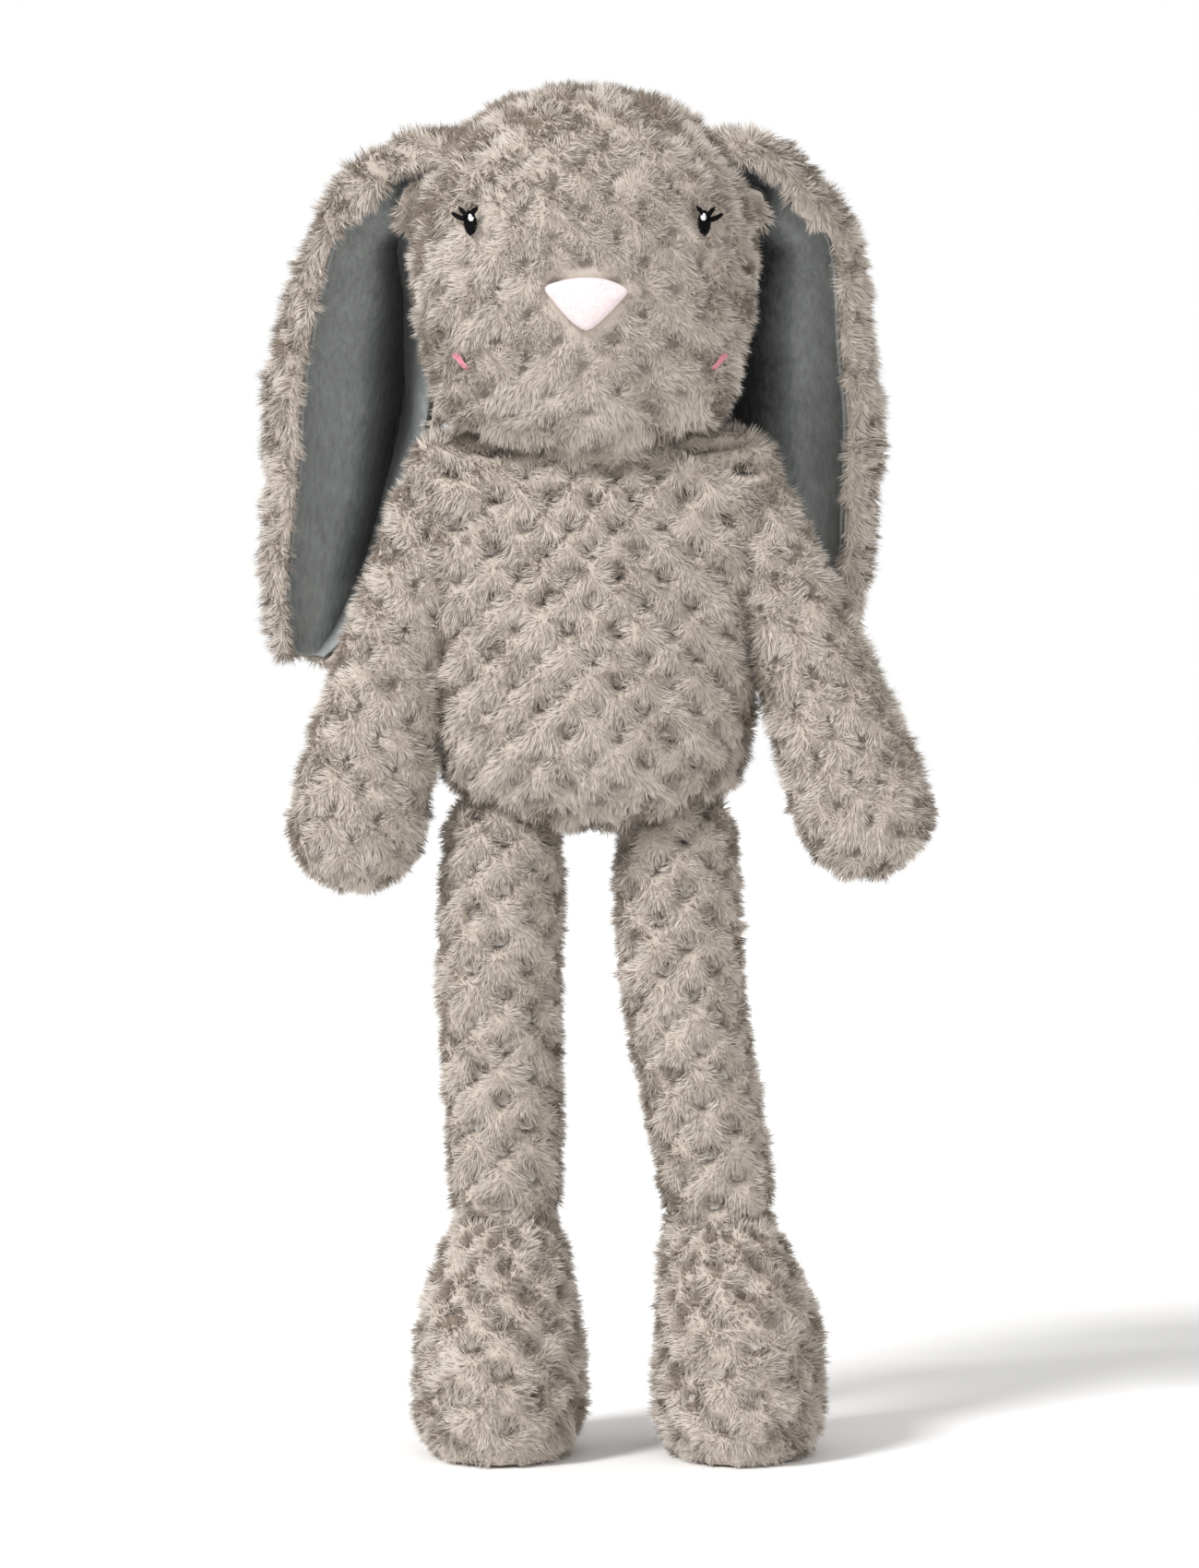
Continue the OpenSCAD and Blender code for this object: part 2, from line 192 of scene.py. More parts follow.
@dataclass(frozen=True)
class KnitBacking(Finish):
    """The knitted ground the pile grows from: fine and flat, with painted shade down in the pits of the
    embossing.
    """

    def shader_inputs(self, tree: bpy.types.NodeTree) -> dict:
        """Colour follows painted shade in the pits over a fine mottle, with the knit's loops as relief."""
        place = add_node(tree, "ShaderNodeTexCoord")
        mottle = add_node(
            tree, "ShaderNodeTexNoise", {"Vector": place.outputs["Object"], "Scale": 330.0, "Detail": 2.0}
        )
        shade = add_node(tree, "ShaderNodeAttribute", settings={"attribute_name": "shade"})
        mixed = add_node(
            tree,
            "ShaderNodeMix",
            {0: 0.2, 2: shade.outputs["Fac"], 3: mottle.outputs["Fac"]},
            {"data_type": "FLOAT"},
        )
        # The dark stop is painted shade in the pits of the embossing
        ramp = add_node(
            tree,
            "ShaderNodeValToRGB",
            {"Fac": mixed.outputs[0]},
            stops=[(0.15, "#50473E"), (0.75, self.tone)],
        )
        loops = add_node(
            tree, "ShaderNodeTexNoise", {"Vector": place.outputs["Object"], "Scale": 900.0}
        )
        bump = add_node(
            tree,
            "ShaderNodeBump",
            {"Height": loops.outputs["Fac"], "Strength": 0.4, "Distance": 0.0006},
        )
        return {"Base Color": ramp.outputs["Color"], "Roughness": 0.9, "Normal": bump.outputs["Normal"]}


@dataclass(frozen=True)
class VelboaLining(Finish):
    """Short shorn velboa: a smooth grey nap that shows brushed streaks, soft blotches where it was
    handled and a pale bloom at a low angle."""

    # dark is a deeper tone of the velboa; fold is painted shade deep in the ear's fold
    dark: str = "#707473"
    fold: str = "#202222"

    def shader_inputs(self, tree: bpy.types.NodeTree) -> dict:
        """Brushed streaks 2 mm wide run down the ear over blotches 15 mm wide, with painted shade down in the
        fold.
        """
        place = add_node(tree, "ShaderNodeTexCoord")
        stretch = add_node(
            tree,
            "ShaderNodeMapping",
            {"Vector": place.outputs["Object"], "Scale": (1.0, 1.0, 0.35)},
        )
        nap = add_node(
            tree,
            "ShaderNodeTexNoise",
            {"Vector": stretch.outputs["Vector"], "Scale": 620.0, "Detail": 3.0, "Roughness": 0.65},
        )
        blotch = add_node(
            tree, "ShaderNodeTexNoise", {"Vector": place.outputs["Object"], "Scale": 62.0, "Detail": 2.0}
        )
        mixed = add_node(
            tree,
            "ShaderNodeMix",
            {0: 0.4, 2: nap.outputs["Fac"], 3: blotch.outputs["Fac"]},
            {"data_type": "FLOAT"},
        )
        shade = add_node(tree, "ShaderNodeAttribute", settings={"attribute_name": "shade"})
        # Mixes in the painted shade of the ear's fold from the shade attribute
        deep = add_node(
            tree,
            "ShaderNodeMix",
            {0: 0.55, 2: mixed.outputs[0], 3: shade.outputs["Fac"]},
            {"data_type": "FLOAT"},
        )
        ramp = add_node(
            tree,
            "ShaderNodeValToRGB",
            {"Fac": deep.outputs[0]},
            stops=[(0.28, self.fold), (0.6, self.dark), (0.78, self.tone)],
        )
        bump = add_node(
            tree,
            "ShaderNodeBump",
            {"Height": nap.outputs["Fac"], "Strength": 0.55, "Distance": 0.0009},
        )
        return {
            "Base Color": ramp.outputs["Color"],
            "Roughness": 0.85,
            "Normal": bump.outputs["Normal"],
            "Sheen Weight": 0.3,
            "Sheen Roughness": 0.35,
            "Sheen Tint": colour("#DDE0E0"),
        }


@dataclass(frozen=True)
class Fleece(Finish):
    """Brushed fleece of the nose: almost white, with a faint blush and a fine even nap."""

    def shader_inputs(self, tree: bpy.types.NodeTree) -> dict:
        """A nap 1 mm wide and a faint change of blush across the pad."""
        place = add_node(tree, "ShaderNodeTexCoord")
        nap = add_node(
            tree, "ShaderNodeTexNoise", {"Vector": place.outputs["Object"], "Scale": 1000.0, "Detail": 3.0}
        )
        ramp = add_node(
            tree,
            "ShaderNodeValToRGB",
            {"Fac": nap.outputs["Fac"]},
            stops=[(0.25, "#D6C3C5"), (0.6, self.tone)],
        )
        bump = add_node(
            tree,
            "ShaderNodeBump",
            {"Height": nap.outputs["Fac"], "Strength": 0.35, "Distance": 0.0005},
        )
        return {
            "Base Color": ramp.outputs["Color"],
            "Roughness": 0.85,
            "Normal": bump.outputs["Normal"],
            "Sheen Weight": 0.1,
            "Sheen Tint": colour("#FFF4F4"),
        }


@dataclass(frozen=True)
class EmbroideryThread(Finish):
    """Twisted rayon thread: it catches a soft line of light along each stitch."""

    def shader_inputs(self, tree: bpy.types.NodeTree) -> dict:
        """The thread's twist is a fine ripple in colour and relief."""
        place = add_node(tree, "ShaderNodeTexCoord")
        twist = add_node(
            tree, "ShaderNodeTexNoise", {"Vector": place.outputs["Object"], "Scale": 2600.0}
        )
        red, green, blue, _ = colour(self.tone)
        shaded = add_node(
            tree,
            "ShaderNodeMix",
            {
                0: twist.outputs["Fac"],
                6: (red * 0.6, green * 0.6, blue * 0.6, 1.0),
                7: (min(red * 1.25, 1), min(green * 1.25, 1), min(blue * 1.25, 1), 1.0),
            },
            {"data_type": "RGBA"},
        )
        bump = add_node(
            tree,
            "ShaderNodeBump",
            {"Height": twist.outputs["Fac"], "Strength": 0.3, "Distance": 0.0002},
        )
        return {
            "Base Color": shaded.outputs[2],
            "Roughness": 0.6,
            "Specular IOR Level": 0.06,
            "Normal": bump.outputs["Normal"],
        }


@dataclass(frozen=True)
class WovenCloth(Finish):
    """Plain woven or carded stuff, such as canvas, satin ribbon or fibre filling."""

    grain: float = 1500.0
    roughness: float = 0.9

    def shader_inputs(self, tree: bpy.types.NodeTree) -> dict:
        """A fine grain in tone and relief."""
        place = add_node(tree, "ShaderNodeTexCoord")
        grain = add_node(
            tree,
            "ShaderNodeTexNoise",
            {"Vector": place.outputs["Object"], "Scale": self.grain, "Detail": 2.0},
        )
        red, green, blue, _ = colour(self.tone)
        shaded = add_node(
            tree,
            "ShaderNodeMix",
            {
                0: grain.outputs["Fac"],
                6: (red * 0.8, green * 0.8, blue * 0.8, 1.0),
                7: (red, green, blue, 1.0),
            },
            {"data_type": "RGBA"},
        )
        bump = add_node(
            tree,
            "ShaderNodeBump",
            {"Height": grain.outputs["Fac"], "Strength": 0.3, "Distance": 0.0004},
        )
        return {
            "Base Color": shaded.outputs[2],
            "Roughness": self.roughness,
            "Normal": bump.outputs["Normal"],
        }


@dataclass(frozen=True)
class StudioFloor(Finish):
    """Matt white backdrop board."""

    def shader_inputs(self, tree: bpy.types.NodeTree) -> dict:
        """Plain and matt, with a grain too faint to see at this distance."""
        place = add_node(tree, "ShaderNodeTexCoord")
        grain = add_node(tree, "ShaderNodeTexNoise", {"Vector": place.outputs["Object"], "Scale": 40.0})
        red, green, blue, _ = colour(self.tone)
        shaded = add_node(
            tree,
            "ShaderNodeMix",
            {
                0: grain.outputs["Fac"],
                6: (red * 0.99, green * 0.99, blue * 0.99, 1.0),
                7: (red, green, blue, 1.0),
            },
            {"data_type": "RGBA"},
        )
        return {"Base Color": shaded.outputs[2], "Roughness": 1.0, "Specular IOR Level": 0.0}


PILE = PlushPile("grey-brown pile", "#E6DDD4")
BACKING = KnitBacking("knitted plush ground", "#BFB4A9")
LINING = VelboaLining("shorn velboa", "#9FA3A2")
NOSE = Fleece("brushed nose fleece", "#E2D5D5")
BLACK = EmbroideryThread("black rayon thread", "#0C0B0D")
WHITE = EmbroideryThread("white rayon thread", "#F2F1EE")
PINK = EmbroideryThread("pink rayon thread", "#DE93A4")
SEAM = EmbroideryThread("grey sewing thread", "#8F857A")
FILLING = WovenCloth("fibre filling", "#EFECE6", 400.0)
CANVAS = WovenCloth("bean bag canvas", "#CFC8BA", 1800.0)
SATIN = WovenCloth("label satin", "#F1EFEA", 2600.0, 0.45)
BOARD = StudioFloor("backdrop board", "#FCFBFA")


# ---------- meshes ----------


def unit(v: Array) -> Array:
    """Rows of v with length one."""
    return v / np.maximum(np.linalg.norm(v, axis=-1, keepdims=True), 1e-9)


def mesh_object(name: str, points_mm: Array, faces: Sequence) -> bpy.types.Object:
    """A smooth-shaded mesh object, linked to the scene.

    Args:
        name: Name of the new object.
        points_mm: Its vertices in millimetres.
        faces: The vertices of each face.

    Returns:
        The object.
    """
    mesh = bpy.data.meshes.new(name)
    mesh.from_pydata((np.asarray(points_mm, float) * MM).tolist(), [], [tuple(map(int, f)) for f in faces])
    mesh.update()
    mesh.shade_smooth()
    obj = bpy.data.objects.new(name, mesh)
    bpy.context.scene.collection.objects.link(obj)
    return obj


def points_of(mesh: bpy.types.Mesh) -> Array:
    """Vertices of a mesh, in millimetres."""
    co = np.empty(len(mesh.vertices) * 3, np.float32)
    mesh.vertices.foreach_get("co", co)
    return co.reshape(-1, 3).astype(float) / MM


def place_points(mesh: bpy.types.Mesh, points_mm: Array) -> None:
    """Moves a mesh's vertices to these points in millimetres."""
    mesh.vertices.foreach_set("co", (points_mm * MM).astype(np.float32).ravel())
    mesh.update()


def normals_of(mesh: bpy.types.Mesh) -> Array:
    """Smooth vertex normals."""
    out = np.empty(len(mesh.vertices) * 3, np.float32)
    mesh.vertex_normals.foreach_get("vector", out)
    return out.reshape(-1, 3).astype(float)


def triangles_of(mesh: bpy.types.Mesh) -> Array:
    """Corner vertices of every triangle."""
    mesh.calc_loop_triangles()
    out = np.empty(len(mesh.loop_triangles) * 3, np.int32)
    mesh.loop_triangles.foreach_get("vertices", out)
    return out.reshape(-1, 3)


def set_shade(mesh: bpy.types.Mesh, shade: Array) -> None:
    """Stores a shade for each vertex, from 0, dark, to 1, light."""
    layer = mesh.attributes.new("shade", "FLOAT", "POINT")
    layer.data.foreach_set("value", np.asarray(shade, np.float32).ravel())


def node_points(*names: str) -> Array:
    """Vertices of CAD nodes together, in millimetres."""
    return np.vstack([points_of(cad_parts[name].data) for name in names])


def hull_object(name: str, points_mm: Array) -> bpy.types.Object:
    """The convex hull of points as an object.

    Args:
        name: Name of the new object.
        points_mm: Points in millimetres.

    Returns:
        The hull, linked to the scene.
    """
    made = bmesh.new()
    verts = [made.verts.new(p) for p in points_mm.tolist()]
    result = bmesh.ops.convex_hull(made, input=verts)
    spare = {g for g in result["geom_interior"] + result["geom_unused"] if isinstance(g, bmesh.types.BMVert)}
    bmesh.ops.delete(made, geom=list(spare), context="VERTS")
    made.verts.ensure_lookup_table()
    made.verts.index_update()
    points = np.array([v.co for v in made.verts])
    faces = [[v.index for v in f.verts] for f in made.faces]
    made.free()
    return mesh_object(name, points, faces)


def ball(centre: Sequence[float], radius: float, low: float = -1.0) -> Array:
    """Points spread over a ball.

    Args:
        centre: Its middle.
        radius: Its radius.
        low: Where the lowest ring lies, from -1 at the bottom to 1 at the top.

    Returns:
        The points, ring by ring.
    """
    turns = np.linspace(0, 2 * np.pi, 24, endpoint=False)
    heights = np.linspace(low, 1, 12)
    rings = [
        np.c_[
            np.cos(turns) * math.sqrt(max(0.0, 1 - h * h)),
            np.sin(turns) * math.sqrt(max(0.0, 1 - h * h)),
            np.full(24, h),
        ]
        for h in heights
    ]
    return np.vstack(rings) * radius + np.asarray(centre)


def evaluated(obj: bpy.types.Object) -> bpy.types.Mesh:
    """The object's mesh with its modifiers applied, as a new mesh."""
    return bpy.data.meshes.new_from_object(obj.evaluated_get(bpy.context.evaluated_depsgraph_get()))


def with_modifier(obj: bpy.types.Object, kind: str, **settings) -> bpy.types.Object:
    """Applies one modifier to an object.

    Args:
        obj: The object, which keeps its name.
        kind: The modifier's type.
        **settings: The modifier's own options.

    Returns:
        The same object with its new mesh.
    """
    modifier = obj.modifiers.new("shape", kind)
    for name, value in settings.items():
        setattr(modifier, name, value)
    old = obj.data
    obj.data = evaluated(obj)
    obj.data.name = obj.name
    obj.modifiers.clear()
    bpy.data.meshes.remove(old)
    return obj


def ripple(points: Array, wavelength: float, seed: int, waves: int = 10) -> Array:
    """Smooth noise from -1 to 1 at points in millimetres.

    Args:
        points: Where the noise is read.
        wavelength: Size of its features.
        seed: Picks one pattern.
        waves: How many plane waves are added up.

    Returns:
        One value for each point.
    """
    rng = np.random.default_rng(seed)
    ways = unit(rng.normal(size=(waves, 3))) * (2 * np.pi / wavelength) * rng.uniform(0.7, 1.4, (waves, 1))
    phase = rng.uniform(0, 2 * np.pi, waves)
    return np.sin(points @ ways.T + phase).sum(1) / math.sqrt(waves) / 1.3


def smoothstep(low: float, high: float, x: Array) -> Array:
    """0 below low, 1 above high and a soft step between."""
    t = np.clip((x - low) / (high - low), 0, 1)
    return t * t * (3 - 2 * t)


# ---------- padded plush ----------


def no_seam(points: Array) -> Array:
    """Distance to the nearest seam on a piece that has none in sight."""
    return np.full(len(points), FAR)


@dataclass
class Cells:
    """The embossed pattern of the plush: a diamond lattice of pits with soft bumps between."""

    axis_from: Array
    axis_to: Array
    depth: float
    face_angle: float = -90.0
    across: float = 9.7
    up: float = 8.6

    def frame_of(self, points: Array) -> tuple[Array, Array, Array]:
        """Places points in the pattern's own cylinder.

        Args:
            points: Points in millimetres.

        Returns:
            Turn round the axis, distance from it and height along it, for each point.
        """
        along = unit(self.axis_to - self.axis_from)
        facing = math.radians(self.face_angle)
        front = np.array([math.cos(facing), math.sin(facing), 0])
        front = unit(front - along * (front @ along))
        side = np.cross(along, front)
        offset = points - self.axis_from
        height = offset @ along
        radial = offset - height[:, None] * along
        return (
            np.arctan2(radial @ side, radial @ front),
            np.linalg.norm(radial, axis=1),
            height,
        )

    def wave(self, points: Array) -> Array:
        """The lattice of pits and bumps, measured along the cloth.

        Args:
            points: Points on the surface, in millimetres.

        Returns:
            1 in a pit and -1 on a bump, for each point.
        """
        turn, away, height = self.frame_of(points)
        half = np.abs(turn) > np.pi / 2
        turn = np.where(half, turn - np.sign(turn) * np.pi, turn)
        edges = np.linspace(height.min() - 0.01, height.max() + 0.01, 41)
        which = np.clip(np.digitize(height, edges) - 1, 0, 39)
        total = np.bincount(which, weights=away, minlength=40)
        count = np.maximum(np.bincount(which, minlength=40), 1)
        profile = total / count
        profile = np.convolve(np.pad(profile, 1, mode="edge"), [0.25, 0.5, 0.25], mode="valid")
        run = np.hypot(np.diff(profile), edges[1] - edges[0])
        length = np.concatenate([[0], np.cumsum(run)])
        middle = (edges[:-1] + edges[1:]) / 2
        y = np.interp(height, middle, length) / self.up
        x = turn * np.interp(height, middle, profile) / self.across + half
        warp_x = 0.11 * ripple(points, 45, 5)
        warp_y = 0.11 * ripple(points, 45, 6)
        return np.cos(np.pi * (x + warp_x)) * np.cos(np.pi * (y + warp_y))

    def relief(self, points: Array) -> Array:
        """Height of the embossing in millimetres: broad bumps and narrow pits."""
        wave = self.wave(points)
        pit = np.clip((1 + wave) / 2, 0, 1)
        return self.depth * (0.55 * (1 - pit) ** 1.3 - 1.2 * pit**4)


@dataclass
class PileCut:
    """How the pile of one piece stands: lengths in millimetres, and where it is trimmed."""

    length: float = 5.6
    density: float = 1.35
    width: float = 0.62
    droop: float = 0.5
    trims: tuple[tuple[tuple[float, float, float], float, float], ...] = ()
    floor: float | None = None


@dataclass
class Padded:
    """A stuffed plush piece that is blown up by Cloth, embossed and covered in pile."""

    name: str
    body: str
    base: bpy.types.Object
    cells: Cells
    pile: PileCut
    seams: Callable[[Array], Array]
    fill: float
    replaced: tuple[str, ...]
    start: Array | None = None

    def remesh(self) -> None:
        """Gives the base an even mesh a little smaller than the finished piece."""
        with_modifier(self.base, "REMESH", mode="VOXEL", voxel_size=VOXEL * MM)
        with_modifier(self.base, "SMOOTH", factor=0.5, iterations=3)
        points = points_of(self.base.data)
        place_points(self.base.data, points - 0.4 * normals_of(self.base.data))
        self.start = points_of(self.base.data)

    def add_cloth(self) -> None:
        """Stuffs the piece: pressure from inside, held at its seams."""
        near = smoothstep(1.2, 4.5, self.seams(self.start))
        group = self.base.vertex_groups.new(name="seam")
        for index in np.nonzero(near < 0.99)[0]:
            group.add([int(index)], float(1 - near[index]), "REPLACE")
        cloth = self.base.modifiers.new("stuffing", "CLOTH")
        settings = cloth.settings
        settings.quality = 5
        settings.mass = 0.25
        settings.tension_stiffness = 18
        settings.compression_stiffness = 18
        settings.shear_stiffness = 6
        settings.bending_stiffness = 0.6
        settings.use_pressure = True
        settings.uniform_pressure_force = 4
        settings.vertex_group_mass = "seam"
        settings.pin_stiffness = 1.0
        settings.effector_weights.gravity = 0
        cloth.point_cache.frame_start = 1
        cloth.point_cache.frame_end = SIM_FRAMES

    def settle(self, limit: float = 3.0) -> None:
        """Keeps the blown-up shape and makes it finer.

        Args:
            limit: The furthest that a point may have moved, in millimetres.
        """
        if self.base.modifiers:
            mesh = evaluated(self.base)
            moved = points_of(mesh) - self.start
            self.base.modifiers.clear()
            bpy.data.meshes.remove(mesh)
        else:
            moved = 1.2 * normals_of(self.base.data) * smoothstep(1, 5, self.seams(self.start))[:, None]
        far = np.linalg.norm(moved, axis=1, keepdims=True)
        moved *= np.minimum(1, limit / np.maximum(far, 1e-6))
        place_points(self.base.data, self.start + moved)
        with_modifier(self.base, "SUBSURF", levels=2, render_levels=2)

    def emboss(self) -> None:
        """Presses the pattern of pits and the seams into the ground cloth, and paints shade into the pits."""
        mesh = self.base.data
        points = points_of(mesh)
        beside = self.seams(points)
        height = self.cells.relief(points) * (SEAM_SHARE + (1 - SEAM_SHARE) * smoothstep(1.5, 8, beside))
        height -= SEAM_GROOVE * (1 - smoothstep(0, 4.5, beside))
        raised = np.ones(len(points))
        if self.pile.floor is not None:
            raised = smoothstep(self.pile.floor + 1, self.pile.floor + 9, points[:, 2])
        height *= raised
        pit = (1 + self.cells.wave(points)) / 2
        # Painted shade on the ground cloth: darker down in the pits, and none near the floor
        set_shade(mesh, 0.75 - 0.2 * self.cells.depth * smoothstep(0.7, 0.97, pit) * raised)
        points = points + normals_of(mesh) * height[:, None]
        if self.pile.floor is not None:
            points[:, 2] = np.maximum(points[:, 2], self.pile.floor + 0.05)
        place_points(mesh, points)

    def finish(self) -> list[bpy.types.Object]:
        self.emboss()
        BACKING.on(self.base)
        pile = grow_pile(f"{self.name}_pile", self.base.data, self.cells, self.pile, self.seams)
        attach(self.base, self.body)
        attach(pile, self.body)
        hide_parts(*self.replaced)
        return [self.base, pile]


def scatter(mesh: bpy.types.Mesh, density: float, rng: np.random.Generator) -> tuple[Array, Array]:
    """Random points on a mesh with their normals.

    Args:
        mesh: The mesh, in metres.
        density: Points for each square millimetre.
        rng: Source of chance.

    Returns:
        Points in millimetres, and unit normals.
    """
    points, normals, tris = points_of(mesh), normals_of(mesh), triangles_of(mesh)
    a, b, c = (points[tris[:, k]] for k in range(3))
    area = np.linalg.norm(np.cross(b - a, c - a), axis=1) / 2
    count = int(area.sum() * density)
    which = np.searchsorted(np.cumsum(area) / area.sum(), rng.random(count))
    u, v = rng.random((2, count))
    flip = u + v > 1
    u, v = np.where(flip, 1 - u, u), np.where(flip, 1 - v, v)
    w = np.stack([1 - u - v, u, v], 1)[..., None]
    corners = tris[np.minimum(which, len(tris) - 1)]
    return (points[corners] * w).sum(1), unit((normals[corners] * w).sum(1))


def nearest_rows(points: Array, to: Array) -> Array:
    """Finds the nearest of a set of points for each point.

    Args:
        points: Points that look for a neighbour.
        to: The points to choose from.

    Returns:
        The index in to, for each point.
    """
    tree = KDTree(len(to))
    for index, point in enumerate(to.tolist()):
        tree.insert(point, index)
    tree.balance()
    return np.fromiter((tree.find(p)[1] for p in points.tolist()), int, len(points))


def strand_mesh(name: str, corners: Array) -> bpy.types.Mesh:
    """A mesh of loose triangles.

    Args:
        name: Name of the new mesh.
        corners: Three points in millimetres for each strand.

    Returns:
        The mesh, with one triangle for each strand.
    """
    count = len(corners)
    mesh = bpy.data.meshes.new(name)
    mesh.vertices.add(count * 3)
    mesh.vertices.foreach_set("co", (corners * MM).astype(np.float32).ravel())
    mesh.loops.add(count * 3)
    mesh.loops.foreach_set("vertex_index", np.arange(count * 3, dtype=np.int32))
    mesh.polygons.add(count)
    mesh.polygons.foreach_set("loop_start", np.arange(0, count * 3, 3, dtype=np.int32))
    mesh.update(calc_edges=True)
    mesh.shade_smooth()
    return mesh


def grow_pile(
    name: str,
    ground: bpy.types.Mesh,
    cells: Cells,
    cut: PileCut,
    seams: Callable[[Array], Array],
) -> bpy.types.Object:
    """Grows tufted pile on a ground cloth as real strands.

    Args:
        name: Name of the new object.
        ground: The embossed ground cloth.
        cells: The embossing, which parts the pile from each bump's top.
        cut: Length, density and trims of the pile.
        seams: Distance of points from the nearest seam, in millimetres.

    Returns:
        The strands as one mesh, with their tone and painted shade from root to tip as an attribute.
    """
    rng = np.random.default_rng(sum(map(ord, name)))
    roots, normals = scatter(ground, cut.density, rng)
    keep = np.ones(len(roots), bool)
    short = np.ones(len(roots))
    for centre, inner, outer in cut.trims:
        far = np.linalg.norm((roots - np.asarray(centre)) * (1, 0.5, 1), axis=1)
        keep &= far > 0.6 * inner
        short *= 0.32 + 0.68 * smoothstep(inner, outer, far)
    if cut.floor is not None:
        keep &= roots[:, 2] > cut.floor + 1.5
    roots, normals, short = roots[keep], normals[keep], short[keep]
    pit = (1 + cells.wave(roots)) / 2
    step = 0.8
    ways = np.stack([cells.wave(roots + step * axis) for axis in np.eye(3)], 1) - (2 * pit - 1)[:, None]
    ways -= normals * (ways * normals).sum(1, keepdims=True)
    noise = np.stack([ripple(roots, 16, seed) for seed in (11, 12, 13)], 1)
    wild = rng.normal(size=roots.shape)
    lean = 1.5 * ways + np.array([0, 0, -cut.droop]) + 0.5 * noise + 0.25 * wild
    lean -= normals * (lean * normals).sum(1, keepdims=True)
    heading = unit(normals * 0.8 + lean)
    length = cut.length * short * (1 - 0.75 * smoothstep(0.65, 0.95, pit))
    length *= rng.uniform(0.75, 1.2, len(roots))
    length *= 0.55 + 0.45 * smoothstep(0.3, 3.5, seams(roots))
    tufts, _ = scatter(ground, TUFTS_PER_MM2, rng)
    tuft = nearest_rows(roots, tufts)
    tuft_tall = rng.uniform(0.75, 1.2, len(tufts))
    tuft_tone = rng.normal(0, 0.035, len(tufts))
    same = np.bincount(tuft, minlength=len(tufts)).clip(1)[:, None]
    tuft_heading = np.stack([np.bincount(tuft, heading[:, k], len(tufts)) for k in range(3)], 1) / same
    tuft_root = np.stack([np.bincount(tuft, roots[:, k], len(tufts)) for k in range(3)], 1) / same
    length *= tuft_tall[tuft]
    gather = tuft_root[tuft] + unit(tuft_heading)[tuft] * length[:, None] * 1.05
    tip = roots + heading * length[:, None]
    tip = tip + (gather - tip) * rng.uniform(0.2, 0.6, (len(roots), 1))
    across = unit(np.cross(tip - roots, normals) + 0.35 * rng.normal(size=roots.shape))
    half = across * cut.width * rng.uniform(0.35, 0.6, (len(roots), 1))
    sunk = roots - normals * 0.4
    points = np.stack([sunk - half, sunk + half, tip], 1)
    if cut.floor is not None:
        points[..., 2] = np.maximum(points[..., 2], cut.floor + 0.3)
    mesh = strand_mesh(name, points)
    flat = unit(np.cross(half, tip - roots))
    flat *= np.sign((flat * normals).sum(1, keepdims=True) + 1e-9)
    shaded = unit(0.75 * normals + 0.25 * flat + 0.1 * rng.normal(size=normals.shape))
    mesh.normals_split_custom_set_from_vertices(np.repeat(shaded, 3, 0).astype(np.float32))
    tone = tuft_tone[tuft] + rng.normal(0, 0.045, len(roots)) + 0.03 * ripple(roots, 30, 21)
    # Painted shade in the pits of the embossing, on top of the strands' random tone
    tone -= PIT_SHADE * cells.depth * smoothstep(0.72, 0.97, pit)
    set_shade(mesh, np.clip(np.array(STRAND_SHADES) + tone[:, None], 0, 1))
    obj = bpy.data.objects.new(name, mesh)
    bpy.context.scene.collection.objects.link(obj)
    PILE.on(obj)
    return obj


# ---------- sub-assemblies ----------


def turned(about_x: float, about_y: float, mirror: bool) -> Array:
    """A turn about Y and then about X.

    Args:
        about_x: Second turn, in degrees.
        about_y: First turn, in degrees.
        mirror: Whether x is mirrored, for a right-hand piece.

    Returns:
        The turn as a 3 x 3 matrix.
    """
    x, y = math.radians(about_x), math.radians(about_y)
    turn_y = np.array([[math.cos(y), 0, math.sin(y)], [0, 1, 0], [-math.sin(y), 0, math.cos(y)]])
    turn_x = np.array([[1, 0, 0], [0, math.cos(x), -math.sin(x)], [0, math.sin(x), math.cos(x)]])
    return np.diag([-1.0 if mirror else 1.0, 1, 1]) @ turn_x @ turn_y


